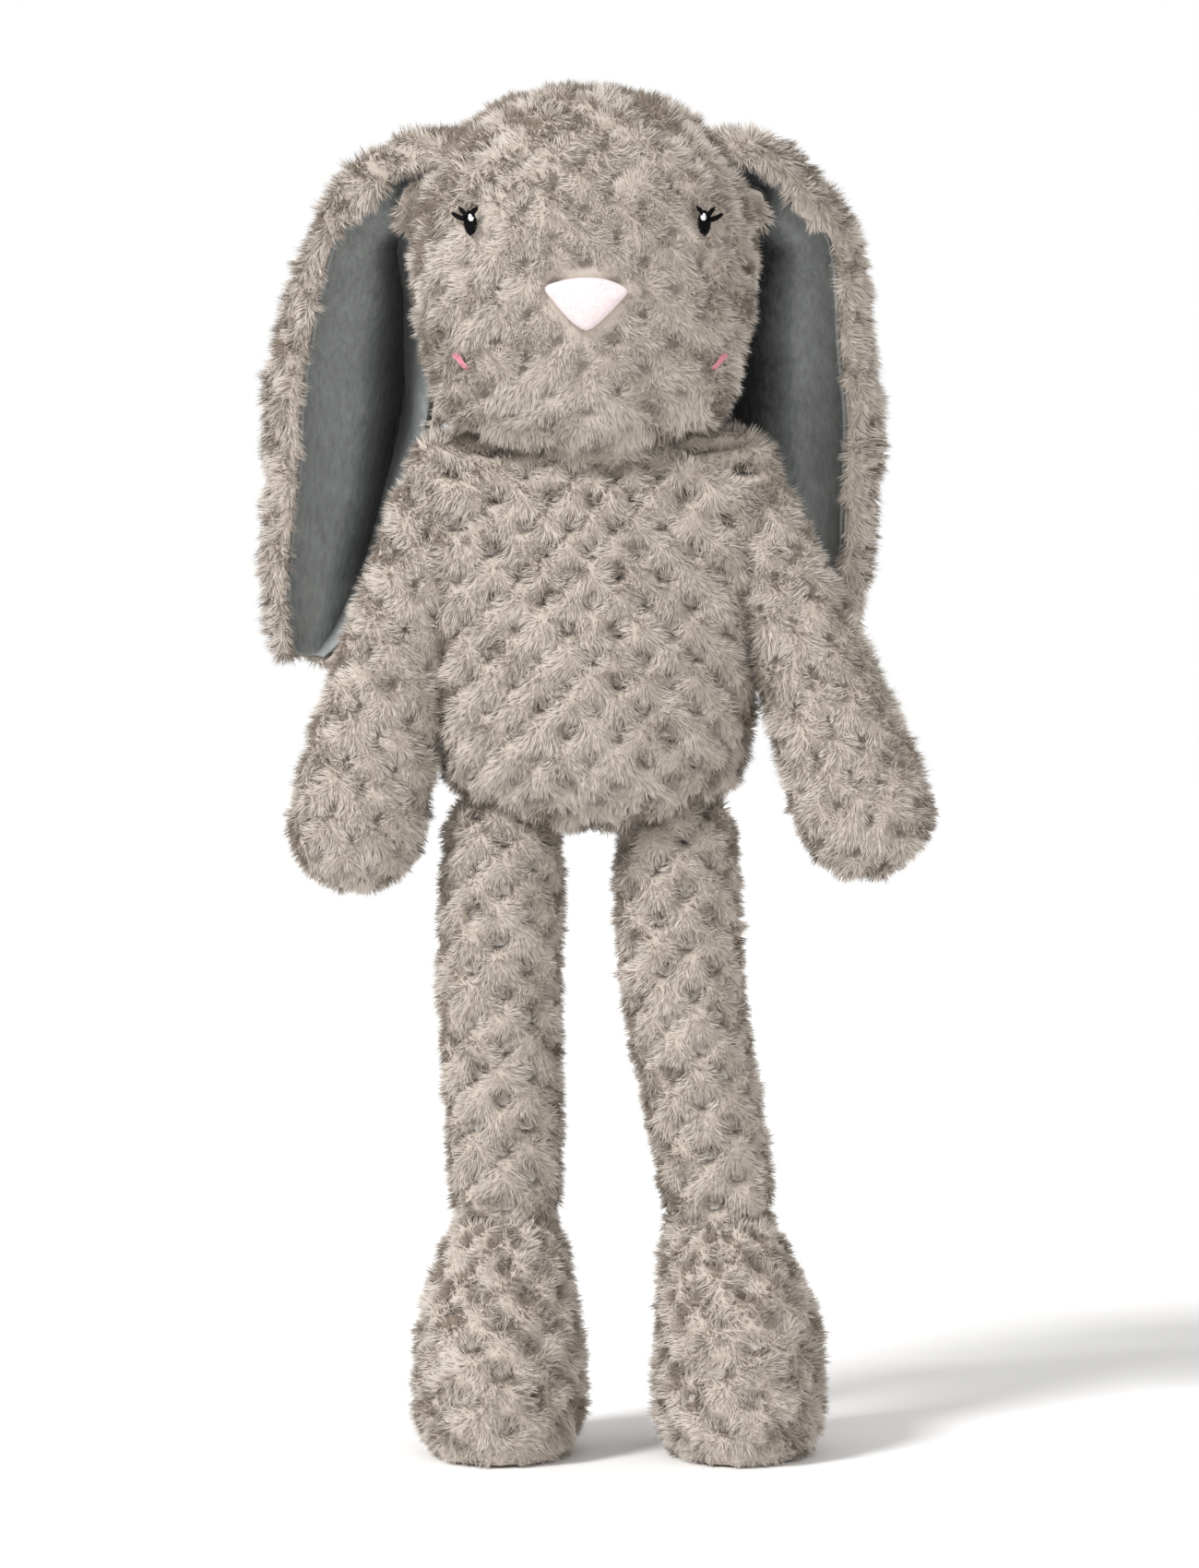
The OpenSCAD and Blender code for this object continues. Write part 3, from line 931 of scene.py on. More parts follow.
@dataclass
class Torso:
    """The pear-shaped body with its tail, ladder-stitched back seam and care label."""

    # Middles and radii of the round forms that fill the shoulders
    shoulders: tuple[tuple[float, float, float, float], ...] = (
        (33.0, -2.0, 321.0, 13.0),
        (47.0, -2.0, 320.0, 14.5),
    )
    tail_r: float = 16.0

    def seams(self, points: Array) -> Array:
        """Side seams and the centre back seam."""
        x, y, _ = (points - ORIGIN).T
        back = np.where(y > 8, np.abs(x), FAR)
        return np.minimum(np.abs(y), back)

    def padded(self) -> list[Padded]:
        """The body and the tail, ready to be stuffed."""
        lobes = [
            ball(ORIGIN + np.array([side.value * x, y, z]), radius)
            for side in Side
            for x, y, z, radius in self.shoulders
        ]
        panels = node_points("body_front_panel", "body_back_left_panel", "body_back_right_panel")
        body = Padded(
            "body",
            "torso",
            hull_object("body_ground", np.vstack([panels, *lobes])),
            Cells(ORIGIN + (0, 0, 195), ORIGIN + (0, 0, 330), 3.4),
            PileCut(3.8, 3.1, 0.46),
            self.seams,
            0.85,
            ("body_front_panel", "body_back_left_panel", "body_back_right_panel"),
        )
        low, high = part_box("tail")
        centre = np.array(low + high) / 2 / MM
        tail = Padded(
            "tail",
            "torso",
            hull_object("tail_ground", ball(centre, self.tail_r)),
            Cells(centre - (0, 0, 18), centre + (0, 0, 18), 0.8, 90.0),
            PileCut(6.5, 3.2, 0.5, 0.15),
            no_seam,
            0.7,
            ("tail",),
        )
        return [body, tail]

    def details(self, ground: bpy.types.Object) -> None:
        """Adds the back stitches and the care label.

        Args:
            ground: The body's ground cloth, which both lie on.
        """
        surface = BVHTree.FromObject(ground, bpy.context.evaluated_depsgraph_get())
        low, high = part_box("closing_seam")
        centre = (low + high) / 2
        rows = []
        for z in np.linspace(low.z + 0.0007, high.z - 0.0007, 9):
            hits = [
                surface.ray_cast(Vector((centre.x + dx * MM, 0.2, z)), Vector((0, -1, 0)))[0]
                for dx in np.linspace(-4, 4, 9)
            ]
            lift = 3.2 - 2.2 * np.abs(np.linspace(-1, 1, 9)) ** 3
            rows.append(np.array([np.array(h) / MM for h in hits]) + np.outer(lift, (0, 1, 0)))
        stitches = threads("back_stitches", rows, 0.7, SEAM)
        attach(stitches, "torso")
        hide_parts("closing_seam")
        low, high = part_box("care_label")
        low, high = np.array(low) / MM, np.array(high) / MM
        u, v = np.meshgrid(np.linspace(0, 1, 13), np.linspace(0, 1, 15))
        wide, deep, tall = high - low
        across = np.stack([low[0] + wide * u, high[1] - deep * (1 - u), high[2] - tall * v], -1)
        curl = 2.2 * v**1.6 + 0.7 * np.sin(4.5 * u + 2.0 * v)
        across += curl[..., None] * np.array([0.64, 0.77, 0.0])
        label = cloth_sheet("care_label_ribbon", across + (0.0, 4.5, 0.0), 0.45, SATIN)
        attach(label, "torso")
        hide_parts("care_label")


@dataclass
class Neck:
    """The short plush collar that turns under the head."""

    radius: float = 29.0
    low: float = 318.0
    high: float = 337.0

    def padded(self) -> list[Padded]:
        """The collar, ready to be stuffed."""
        turns = np.linspace(0, 2 * np.pi, 32, endpoint=False)
        rows = [
            np.c_[np.cos(turns) * r, np.sin(turns) * r * 0.9, np.full(32, z)]
            for r, z in (
                (self.radius - 5, self.low),
                (self.radius, self.low + 5),
                (self.radius, self.high - 5),
                (self.radius - 5, self.high),
            )
        ]
        return [
            Padded(
                "collar",
                "neck",
                hull_object("collar_ground", np.vstack(rows) + ORIGIN),
                Cells(ORIGIN + (0, 0, 310), ORIGIN + (0, 0, 340), 0.6),
                PileCut(4.0, 2.6, 0.46, 0.2),
                no_seam,
                0.8,
                ("neck_seam",),
            )
        ]


@dataclass
class Head:
    """The round head with its stitched eyes, nose pad and blushed cheeks."""

    middle: tuple[float, float, float] = (-3.0, 0.0, 388.5)
    half_height: float = 57.5
    crown_back: float = 7.0
    # Middle and radius of the round form that fills each jowl
    jowl: tuple[float, float, float, float] = (27.5, -13.0, 350.5, 22.0)
    # Middle and radius of the round form that fills the chin
    chin: tuple[float, float, float, float] = (0.0, -20.0, 346.5, 22.5)
    # Half the distance between the pair, height, and how far the pair sits to one side
    eye: tuple[float, float, float] = (35.9, 398.9, 1.0)
    cheek: tuple[float, float, float] = (40.4, 355.3, 2.0)
    nose: tuple[float, float] = (0.8, 372.8)
    eye_lift: float = 3.0
    nose_half: tuple[float, float] = (13.2, 8.2)
    # Round patches where the pile is shorn under the nose: sideways and up from its middle, and radius
    nose_trims: tuple[tuple[float, float, float], ...] = (
        (-8, 3.6, 5.5),
        (8, 3.4, 5.5),
        (-3, 3.2, 7.5),
        (3, 3.2, 7.5),
        (0, -2.8, 7.5),
        (0, 0, 8.5),
    )

    def at(self, x: float, z: float) -> tuple[float, float, float]:
        """A point on the front of the head, to trim the pile round."""
        return (ORIGIN[0] + self.middle[0] + x, ORIGIN[1] - 45.0, z)

    def place(self, pair: tuple[float, float, float], side: Side) -> tuple[float, float]:
        """Where one of a pair sits: beside the head's middle, and its height."""
        return (side.value * pair[0] + pair[2], pair[1])

    def seams(self, points: Array) -> Array:
        """The seam from ear to ear over the crown and the dart under the nose."""
        x, y, z = (points - ORIGIN).T
        up = np.clip((z - self.middle[2]) / self.half_height, 0, 1)
        over = np.abs(y - self.crown_back * up**2)
        dart = np.abs(x - self.middle[0]) + np.where((z < 368) & (z > 342) & (y < -20), 1.4, FAR)
        return np.minimum(over, dart)

    def padded(self) -> list[Padded]:
        """The head, ready to be stuffed."""
        trims = [(self.at(*self.place(self.eye, side)), 5.2, 9.5) for side in Side]
        trims += [(self.at(*self.place(self.cheek, side)), 0.5, 5.5) for side in Side]
        trims += [
            (self.at(self.nose[0] + dx, self.nose[1] + dz), r, r + 4.5) for dx, dz, r in self.nose_trims
        ]
        chin_x, chin_y, chin_z, chin_r = self.chin
        jowl_x, jowl_y, jowl_z, jowl_r = self.jowl
        centre = ORIGIN + (self.middle[0], 0, 0)
        fills = [ball(centre + (side.value * jowl_x, jowl_y, jowl_z), jowl_r) for side in Side]
        fills.append(ball(centre + (chin_x, chin_y, chin_z), chin_r))
        return [
            Padded(
                "head",
                "head",
                hull_object("head_ground", np.vstack([node_points("face_panel", "head_back_panel"), *fills])),
                Cells(
                    ORIGIN + (self.middle[0], self.crown_back / 2, 325),
                    ORIGIN + (self.middle[0], self.crown_back / 2, 450),
                    1.5,
                ),
                PileCut(3.8, 3.1, 0.46, 0.4, tuple(trims)),
                self.seams,
                0.9,
                ("face_panel", "head_back_panel"),
            )
        ]

    def patch(self, surface: BVHTree, flat: Array, centre: tuple[float, float], lift: float) -> Array:
        """Lays flat points on the face.

        Args:
            surface: The head's ground cloth.
            flat: Points as x and z from the centre, in millimetres, with a height as third column.
            centre: Place of the centre beside the head's middle, and its height.
            lift: Height above the ground cloth.

        Returns:
            The points on the face, in millimetres.
        """
        hits, normals = [], []
        for dx, dz, _ in flat:
            start = Vector(((ORIGIN[0] + self.middle[0] + centre[0] + dx) * MM, -0.3, (centre[1] + dz) * MM))
            hit, normal, _, _ = surface.ray_cast(start, Vector((0, 1, 0)))
            hits.append(np.array(hit) / MM)
            normals.append(np.array(normal))
        return np.array(hits) + unit(np.mean(normals, 0)) * (lift + flat[:, 2:3])

    def details(self, ground: bpy.types.Object) -> None:
        """Adds eyes, glints, cheeks and nose.

        Args:
            ground: The head's ground cloth, which they lie on.
        """
        smooth = ground.copy()
        smooth.data = ground.data.copy()
        bpy.context.scene.collection.objects.link(smooth)
        with_modifier(smooth, "SMOOTH", factor=0.6, iterations=60)
        surface = BVHTree.FromObject(smooth, bpy.context.evaluated_depsgraph_get())
        for side in Side:
            self.stitch_eye(surface, side)
            self.stitch_cheek(surface, side)
        self.sew_nose(surface)
        bpy.data.objects.remove(smooth)

    def stitch_eye(self, surface: BVHTree, side: Side) -> None:
        """Stitches a satin oval with three lashes and a white glint.

        Args:
            surface: The head's ground cloth, smoothed.
            side: Which eye.
        """
        centre = self.place(self.eye, side)
        rows = []
        for z in np.arange(-4.3, 2.9, 0.42):
            wide = 2.3 * math.sqrt(max(0.05, 1 - ((z + 0.7) / 3.7) ** 2))
            u = np.linspace(-1, 1, 7)
            flat = np.c_[u * wide, np.full(7, z), 0.5 * (1 - u**2)]
            rows.append(self.patch(surface, flat, centre, self.eye_lift))
        for angle, reach, bend in ((118, 5.4, 0.4), (62, 5.4, -0.4), (10, 6.2, 0.9)):
            for k in (-1.5, -0.5, 0.5, 1.5):
                u = np.linspace(0, 1, 7)
                run = 1.0 + u * (reach - 1.0 - abs(k) * 0.4)
                away = k * 0.42 * (1 - 0.5 * u) + bend * u**2 * 1.6
                a = math.radians(angle)
                x = run * math.cos(a) - away * math.sin(a)
                z = run * math.sin(a) + away * math.cos(a)
                flat = np.c_[side.value * x, z, 1.1 - 0.2 * u]
                rows.append(self.patch(surface, flat, centre, self.eye_lift))
        eye = threads(f"{side.prefix}_eye_stitches", rows, 0.3, BLACK)
        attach(eye, "head")
        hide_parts(f"{side.prefix}_eye")
        dots = []
        for z in np.arange(-0.9, 1.0, 0.36):
            wide = 0.95 * math.sqrt(max(0.1, 1 - (z / 1.1) ** 2))
            u = np.linspace(-1, 1, 5)
            flat = np.c_[-side.value * 0.8 + u * wide, 0.7 + np.full(5, z), 0.9 + 0.35 * (1 - u**2)]
            dots.append(self.patch(surface, flat, centre, self.eye_lift))
        glint = threads(f"{side.prefix}_eye_knot", dots, 0.26, WHITE)
        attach(glint, "head")
        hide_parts(f"{side.prefix}_eye_glint")

    def stitch_cheek(self, surface: BVHTree, side: Side) -> None:
        """Adds a few slanted pink stitches, half sunk in the pile.

        Args:
            surface: The head's ground cloth, smoothed.
            side: Which cheek.
        """
        centre = self.place(self.cheek, side)
        rows = []
        for k in range(9):
            u = np.linspace(-1, 1, 7)
            x = (k - 4) * 0.42 + 1.2 * u
            z = -2.9 * u * (1 - 0.035 * (k - 4) ** 2) - (k - 4) * 0.3
            rows.append(self.patch(surface, np.c_[-side.value * x, z, 0.8 * (1 - u**2) - 0.5], centre, 2.4))
        cheek = threads(f"{side.prefix}_cheek_stitches", rows, 0.17, PINK)
        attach(cheek, "head")
        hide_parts(f"{side.prefix}_cheek")

    def sew_nose(self, surface: BVHTree) -> None:
        """Adds a puffed fleece triangle with its point down and its edge turned under.

        Args:
            surface: The head's ground cloth, smoothed.
        """
        wide, high = self.nose_half
        outline = smooth_loop(
            [(-1.0, 0.62), (-0.55, 0.9), (0, 1.0), (0.55, 0.9), (1.0, 0.5), (0.78, 0.0), (0.42, -0.6),
             (0.1, -1.0), (-0.12, -1.0), (-0.45, -0.6), (-0.82, 0.1)],
            6,
        ) * (wide, high)
        steps = 9
        flat, faces, n = [], [], len(outline)
        for k in range(steps + 1):
            share = math.sin(math.pi / 2 * k / steps)
            rise = 2.6 * math.sqrt(1 - share**2 * 0.999) ** 0.8
            flat.append(np.c_[outline * max(share, 0.02), np.full(n, rise)])
        flat.append(np.c_[outline * 0.97, np.full(n, -1.6)])
        flat.append(np.c_[outline * 0.5, np.full(n, -2.0)])
        for k in range(len(flat) - 1):
            a, b = k * n, (k + 1) * n
            faces += [[a + j, a + (j + 1) % n, b + (j + 1) % n, b + j] for j in range(n)]
        faces.append(list(range(n))[::-1])
        faces.append([(len(flat) - 1) * n + j for j in range(n)])
        points = self.patch(surface, np.vstack(flat), self.nose, 3.0)
        nose = mesh_object("nose_pad", points, faces)
        recalculate(nose)
        NOSE.on(nose)
        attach(nose, "head")
        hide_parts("nose")


def curve_between(p0: Array, p1: Array, p2: Array, p3: Array, t: Array | float) -> Array:
    """Catmull-Rom curve that runs from p1 to p2.

    Args:
        p0: The point before.
        p1: Where the curve is at t = 0.
        p2: Where the curve is at t = 1.
        p3: The point after.
        t: Place along the curve.

    Returns:
        The point or points at t.
    """
    square = 2 * p0 - 5 * p1 + 4 * p2 - p3
    cube = 3 * p1 - p0 - 3 * p2 + p3
    return 0.5 * (2 * p1 + (p2 - p0) * t + square * t**2 + cube * t**3)


def smooth_loop(points: Sequence[tuple[float, float]], steps: int) -> Array:
    """A rounded closed loop.

    Args:
        points: Corners that the loop passes through.
        steps: Points of the result from one corner to the next.

    Returns:
        The points of the loop, in order.
    """
    p = np.array(points, float)
    p0, p1, p2, p3 = (np.roll(p, s, 0)[:, None] for s in (1, 0, -1, -2))
    t = np.linspace(0, 1, steps, endpoint=False)[None, :, None]
    return curve_between(p0, p1, p2, p3, t).reshape(-1, p.shape[1])


def smooth_rows(rows: Sequence[Sequence[float]], steps: int) -> Array:
    """A rounded open line.

    Args:
        rows: Rows of numbers that the line passes through.
        steps: Rows of the result from one row to the next.

    Returns:
        The rows of the line, in order.
    """
    p = np.array(rows, float)
    padded = np.vstack([p[:1], p, p[-1:]])
    shares = np.linspace(0, 1, steps, endpoint=False)
    out = [curve_between(*padded[k : k + 4], t) for k in range(len(p) - 1) for t in shares]
    return np.array([*out, p[-1]])


def recalculate(obj: bpy.types.Object) -> None:
    """Turns all faces of a closed mesh outwards."""
    made = bmesh.new()
    made.from_mesh(obj.data)
    bmesh.ops.recalc_face_normals(made, faces=made.faces)
    made.to_mesh(obj.data)
    made.free()


def threads(name: str, rows: Sequence[Array], radius: float, finish: Finish) -> bpy.types.Object:
    """Stitches as round threads that taper at both ends.

    Args:
        name: Name of the new object.
        rows: One line of points in millimetres for each stitch.
        radius: Radius of the thread.
        finish: What the thread is made of.

    Returns:
        All the stitches as one object.
    """
    points, faces, sides = [], [], 6
    turns = np.linspace(0, 2 * np.pi, sides, endpoint=False)
    for row in rows:
        start = sum(len(p) for p in points)
        along = unit(np.gradient(row, axis=0))
        side = unit(np.cross(along, np.array([0.05, 1.0, 0.02])))
        up = np.cross(side, along)
        thick = radius * np.r_[0.35, np.ones(len(row) - 2), 0.35]
        ring = row[:, None] + thick[:, None, None] * (
            side[:, None] * np.cos(turns)[:, None] + up[:, None] * np.sin(turns)[:, None]
        )
        points.append(ring.reshape(-1, 3))
        for k in range(len(row) - 1):
            a, b = start + k * sides, start + (k + 1) * sides
            faces += [[a + j, a + (j + 1) % sides, b + (j + 1) % sides, b + j] for j in range(sides)]
        faces.append([start + j for j in range(sides)][::-1])
        faces.append([start + (len(row) - 1) * sides + j for j in range(sides)])
    obj = mesh_object(name, np.vstack(points), faces)
    recalculate(obj)
    finish.on(obj)
    return obj


def cloth_sheet(name: str, grid: Array, thick: float, finish: Finish) -> bpy.types.Object:
    """A closed sheet of even thickness.

    Args:
        name: Name of the new object.
        grid: Rows of points in millimetres on the middle of the sheet.
        thick: Its thickness.
        finish: What it is made of.

    Returns:
        The sheet.
    """
    rows, columns = grid.shape[:2]
    down, along = np.gradient(grid, axis=0), np.gradient(grid, axis=1)
    half_up = unit(np.cross(along, down)) * thick / 2
    points = np.vstack([(grid + half_up).reshape(-1, 3), (grid - half_up).reshape(-1, 3)])
    half, faces = rows * columns, []
    for i in range(rows - 1):
        for j in range(columns - 1):
            a = i * columns + j
            quad = [a, a + 1, a + columns + 1, a + columns]
            faces += [quad, [q + half for q in quad[::-1]]]
    rim = [*range(columns), *(i * columns + columns - 1 for i in range(1, rows))]
    rim += [(rows - 1) * columns + j for j in range(columns - 2, -1, -1)]
    rim += [i * columns for i in range(rows - 2, 0, -1)]
    faces += [[a, a + half, b + half, b] for a, b in zip(rim, rim[1:] + rim[:1])]
    obj = mesh_object(name, points, faces)
    recalculate(obj)
    finish.on(obj)
    return obj


@dataclass
class Ear:
    """A long lop ear: plush outside, lined with velboa, folded in a trough that opens to the front."""

    side: Side
    root: tuple[float, float, float]
    out: float
    # From the tip to the root and on into the head: out, back, up, half width, half depth
    stations: tuple[tuple[float, ...], ...] = (
        (38, 35, -168, 9, 6.5),
        (35, 34, -155, 16, 9),
        (28, 32, -125, 24, 13),
        (22, 29, -90, 28, 15),
        (18, 21, -55, 26, 15),
        (15, 11, -28, 19, 12),
        (9, 3, -14, 13, 9),
        (2, 0, -9, 11.5, 9),
        (-7, -1, -8, 12, 10),
        (-17, -2, -11, 12, 11),
    )
    open_from: float = -52.0
    open_to: float = 198.0
    # Where round the trough the ear is folded deepest, and by how much
    fold_at: float = 122.0
    fold_depth: float = 24.0
    # Distance of the lining from the plush, in the middle of both
    lining_gap: float = 2.6
    # How much the painted shade lifts again on the lining past the fold, where it comes back into the light
    flange: float = 0.8
    # Degrees before the fold where the painted shade on the lining starts
    shaded: float = 36.0

    def grid(self, inset: float, columns: int = 40, steps: int = 6, trim: float = 0.0) -> Array:
        """Points over the ear's trough, in millimetres.

        Args:
            inset: Depth under the outer face.
            columns: Points round the trough.
            steps: Points between two stations.
            trim: Degrees taken off both edges.

        Returns:
            Rows of points from the tip to the root.
        """
        rows = smooth_rows(self.stations, steps)
        along = unit(np.gradient(rows[:, [0, 2]], axis=0))
        share = np.linspace(0, 1, len(rows))
        narrow = smoothstep(0.55, 0.595, share)
        start = self.open_from - 34 * narrow + trim
        end = self.open_to + 46 * narrow - trim
        wave = 1 + 0.035 * np.sin(share * 23 + self.side.value) + 0.02 * np.sin(share * 41)
        turn = np.radians(start[:, None] + (end - start)[:, None] * np.linspace(0, 1, columns))
        rx = np.maximum(rows[:, 3] * wave - inset, 0.8)[:, None] * np.cos(turn)
        ry = np.maximum(rows[:, 4] * wave - inset, 0.8)[:, None] * np.sin(turn)
        deep = self.fold_depth * smoothstep(0.0, 0.2, share) * (1 - smoothstep(0.52, 0.66, share))
        ry = ry + deep[:, None] * np.exp(-(((np.degrees(turn) - self.fold_at) / 17) ** 2))
        local = np.stack(
            [
                rows[:, 0, None] + along[:, 1, None] * rx,
                rows[:, 1, None] + ry,
                rows[:, 2, None] - along[:, 0, None] * rx,
            ],
            -1,
        )
        turning = turned(0, -self.out, self.side is Side.RIGHT)
        return local @ turning.T + np.array(self.root) + ORIGIN

    def build(self, head: bpy.types.Object) -> None:
        """Sews plush, pile and lining together.

        Args:
            head: The head's ground cloth, which the ear is sewn to. Not used.
        """
        name = f"{self.side.prefix}_ear"
        plush = cloth_sheet(f"{name}_ground", self.grid(1.2), 1.6, BACKING)
        rows = self.grid(1.2, trim=-1.0)
        share = np.linspace(0, 1, len(rows))[:, None]
        across = np.linspace(0, 1, rows.shape[1])[None, :]
        rim = np.minimum(across, 1 - across)
        fold = np.sin(across * 34 + 5 * np.sin(share * 5)) * (0.5 + 1.1 * smoothstep(0.5, 1, share))
        fold = fold * smoothstep(0.02, 0.15, rim)
        down, along = np.gradient(rows, axis=0), np.gradient(rows, axis=1)
        inward = unit(np.cross(along, down))
        centre = rows.mean(1, keepdims=True)
        inward *= np.sign(((centre - rows) * inward).sum())
        slack = ripple(rows.reshape(-1, 3), 28, 9).reshape(fold.shape) * smoothstep(0.02, 0.15, rim)
        rows = rows + inward * (self.lining_gap + 0.6 * fold + 0.9 * slack)[..., None]
        lining = cloth_sheet(f"{name}_velboa", rows, 1.2, LINING)
        # Painted shade on the lining, deep in the fold and by the head
        set_shade(lining.data, np.tile(self.lining_shade(share, across).ravel(), 2))
        set_shade(plush.data, np.full(len(plush.data.vertices), 0.7))
        for sheet in (plush, lining):
            with_modifier(sheet, "SUBSURF", levels=1, render_levels=1)
        cells = Cells(
            np.array(self.root) + ORIGIN + (self.side.value * 39, 35, -168),
            np.array(self.root) + ORIGIN + (self.side.value * 20, 12, 0),
            1.6,
            90.0,
        )
        pile = self.outer_pile(f"{name}_pile", cells)
        for piece in (plush, pile, lining):
            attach(piece, f"{name}")
        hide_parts(f"{name}_outer")
        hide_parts(f"{name}_lining")

    def lining_shade(self, share: Array, across: Array) -> Array:
        """Painted shade of the lining, darkest down in the fold and darker towards the root by the head.

        Args:
            share: Place from the tip, 0, to the root, 1, as a column.
            across: Place from the outer edge, 0, to the inner edge, 1, as a row.

        Returns:
            A painted shade for each point, from 0, dark, to 1, light.
        """
        turn = self.open_from + (self.open_to - self.open_from) * across
        past = smoothstep(self.fold_at - self.shaded, self.fold_at - self.shaded + 28, turn)
        back = smoothstep(self.fold_at + 8, self.fold_at + 40, turn) * self.flange
        painted_fold_shade = past * (1 - back) * smoothstep(0.08, 0.3, share)
        # Painted shade towards the root, where the ear lies against the head
        root = smoothstep(0.62, 0.8, share) * 0.5
        return 0.9 - 0.72 * np.maximum(painted_fold_shade, root)

    def outer_pile(self, name: str, cells: Cells) -> bpy.types.Object:
        """Grows pile on the ear's outer side, wrapped over its rim.

        Args:
            name: Name of the new object.
            cells: The ear's embossing.

        Returns:
            The pile.
        """
        outside, rim = self.grid(0.2), self.grid(2.6, trim=3.0)
        grid = np.concatenate([rim[:, 1:2], outside, rim[:, -2:-1]], 1)
        tip = 0.6 * grid[:1] + 0.4 * grid[:1].mean(1, keepdims=True)
        grid = np.concatenate([tip, grid], 0)
        rows, columns = grid.shape[:2]
        faces = [
            [i * columns + j, i * columns + j + 1, (i + 1) * columns + j + 1, (i + 1) * columns + j]
            for i in range(rows - 1)
            for j in range(columns - 1)
        ]
        if self.side is Side.RIGHT:
            faces = [f[::-1] for f in faces]
        ground = mesh_object(f"{name}_guide", grid.reshape(-1, 3), faces)
        points, normals = points_of(ground.data), normals_of(ground.data)
        if ((points - points.mean(0)) * normals).sum() < 0:
            ground.data.flip_normals()
            normals = -normals
        place_points(ground.data, points + normals * cells.relief(points)[:, None])
        pile = grow_pile(name, ground.data, cells, PileCut(4.0, 3.0, 0.46, 0.4), no_seam)
        bpy.data.objects.remove(ground)
        return pile


@dataclass
class Arm:
    """A tube arm with a mitten end, sewn from a front and a back panel."""

    side: Side
    shoulder: tuple[float, float, float]
    out: float
    front: float

    def padded(self) -> list[Padded]:
        """The arm, ready to be stuffed."""
        name = f"{self.side.prefix}_arm"
        turning = turned(-self.front, -self.out, self.side is Side.RIGHT)
        pivot = np.array(self.shoulder) + ORIGIN
        across = turning @ np.array([0.0, 1.0, 0.0])

        def seams(points: Array) -> Array:
            """The side seams lie in the plane between the two panels."""
            low = (points - pivot) @ turning[:, 2] < -6
            return np.where(low, np.abs((points - pivot) @ across), FAR)

        parts = (f"{name}_front_panel", f"{name}_back_panel")
        return [
            Padded(
                name,
                name,
                hull_object(f"{name}_ground", node_points(*parts)),
                Cells(pivot + turning @ np.array([2.0, 0, -132]), pivot, 1.9),
                PileCut(4.0, 3.1, 0.46, 0.45),
                seams,
                0.75,
                parts,
            )
        ]


@dataclass
class Leg:
    """A long tube leg, sewn up its back."""

    side: Side
    hip: tuple[float, float, float]
    ankle: tuple[float, float, float]
    cloth: float = 3.4
    # The round end above the hip: its height, how far it goes up into the body, and how much wider it gets
    dome: float = 20.0
    tuck: float = 8.0
    fullest: float = 1.9

    def tube(self, name: str) -> bpy.types.Object:
        """Makes the leg's cloth from the shape of its filling, grown by its own thickness.

        Args:
            name: The leg's name.

        Returns:
            The cloth as a closed tube.
        """
        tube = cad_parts[f"{name}_stuffing"].copy()
        tube.data = tube.data.copy()
        tube.parent = None
        tube.name = f"{name}_ground"
        for key in list(tube.keys()):
            del tube[key]
        tube.data.name = tube.name
        bpy.context.scene.collection.objects.link(tube)
        with_modifier(tube, "WELD", merge_threshold=2e-5)
        tube.data.shade_smooth()
        recalculate(tube)
        place_points(tube.data, points_of(tube.data) + self.cloth * normals_of(tube.data))
        return tube

    def tucked(self, points: Array, hip: Array) -> Array:
        """Draws the round end above the hip up into the body and makes it fuller.

        Args:
            points: Points of the leg, in millimetres.
            hip: The hip's pivot.

        Returns:
            The points, moved.
        """
        top = np.clip((points[:, 2] - hip[2]) / self.dome, 0, 1)[:, None]
        fuller = np.clip(1 / np.sqrt(np.maximum(1 - top**2, 0.02)), 1, self.fullest)
        moved = hip + (points - hip) * np.where(top < 0.92, fuller, 1)
        moved[:, 2] = points[:, 2] + self.tuck
        return np.where(top > 0, moved, points)

    def padded(self) -> list[Padded]:
        """The leg, ready to be stuffed."""
        name = f"{self.side.prefix}_leg"
        hip, ankle = np.array(self.hip) + ORIGIN, np.array(self.ankle) + ORIGIN
        base = self.tube(name)
        place_points(base.data, self.tucked(points_of(base.data), hip))

        def seams(points: Array) -> Array:
            """The back seam follows the leg from hip to ankle."""
            x = np.interp(points[:, 2], [ankle[2], hip[2]], [ankle[0], hip[0]])
            return np.where(points[:, 1] > hip[1] + 4, np.abs(points[:, 0] - x), FAR)

        return [
            Padded(
                name,
                name,
                base,
                Cells(ankle - (0, 0, 20), hip + (0, 0, 22), 3.8),
                PileCut(3.6, 3.1, 0.46, 0.35),
                seams,
                0.8,
                (f"{name}_sleeve",),
            )
        ]


@dataclass
class Foot:
    """A big padded foot with a flat sole and a cuff round the ankle."""

    side: Side
    ankle: tuple[float, float, float]
    cuff_r: float = 18.0

    def padded(self) -> list[Padded]:
        """The foot, ready to be stuffed."""
        name = f"{self.side.prefix}_foot"
        ankle = np.array(self.ankle) + ORIGIN
        cuff = ball(ankle, self.cuff_r)
        parts = (f"{name}_upper", f"{name}_sole")
        shape = np.vstack([node_points(*parts), cuff[cuff[:, 2] < ankle[2] - 3]])
        return [
            Padded(
                name,
                name,
                hull_object(f"{name}_ground", shape),
                Cells(ankle - (0, 15, 80), ankle + (0, -15, 10), 3.0),
                PileCut(3.8, 3.1, 0.46, 0.4, (), 0.0),
                lambda p: np.abs(p[:, 2] - 4.5),
                0.8,
                parts,
            )
        ]


@dataclass
class Filling:
    """The parts inside the toy, which keep their designed shape."""

    def dress(self) -> None:
        """Gives fibre and canvas finishes to what the plush covers."""
        for name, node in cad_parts.items():
            if name.endswith("stuffing"):
                FILLING.on(node)
            elif name == "bean_bag":
                CANVAS.on(node)


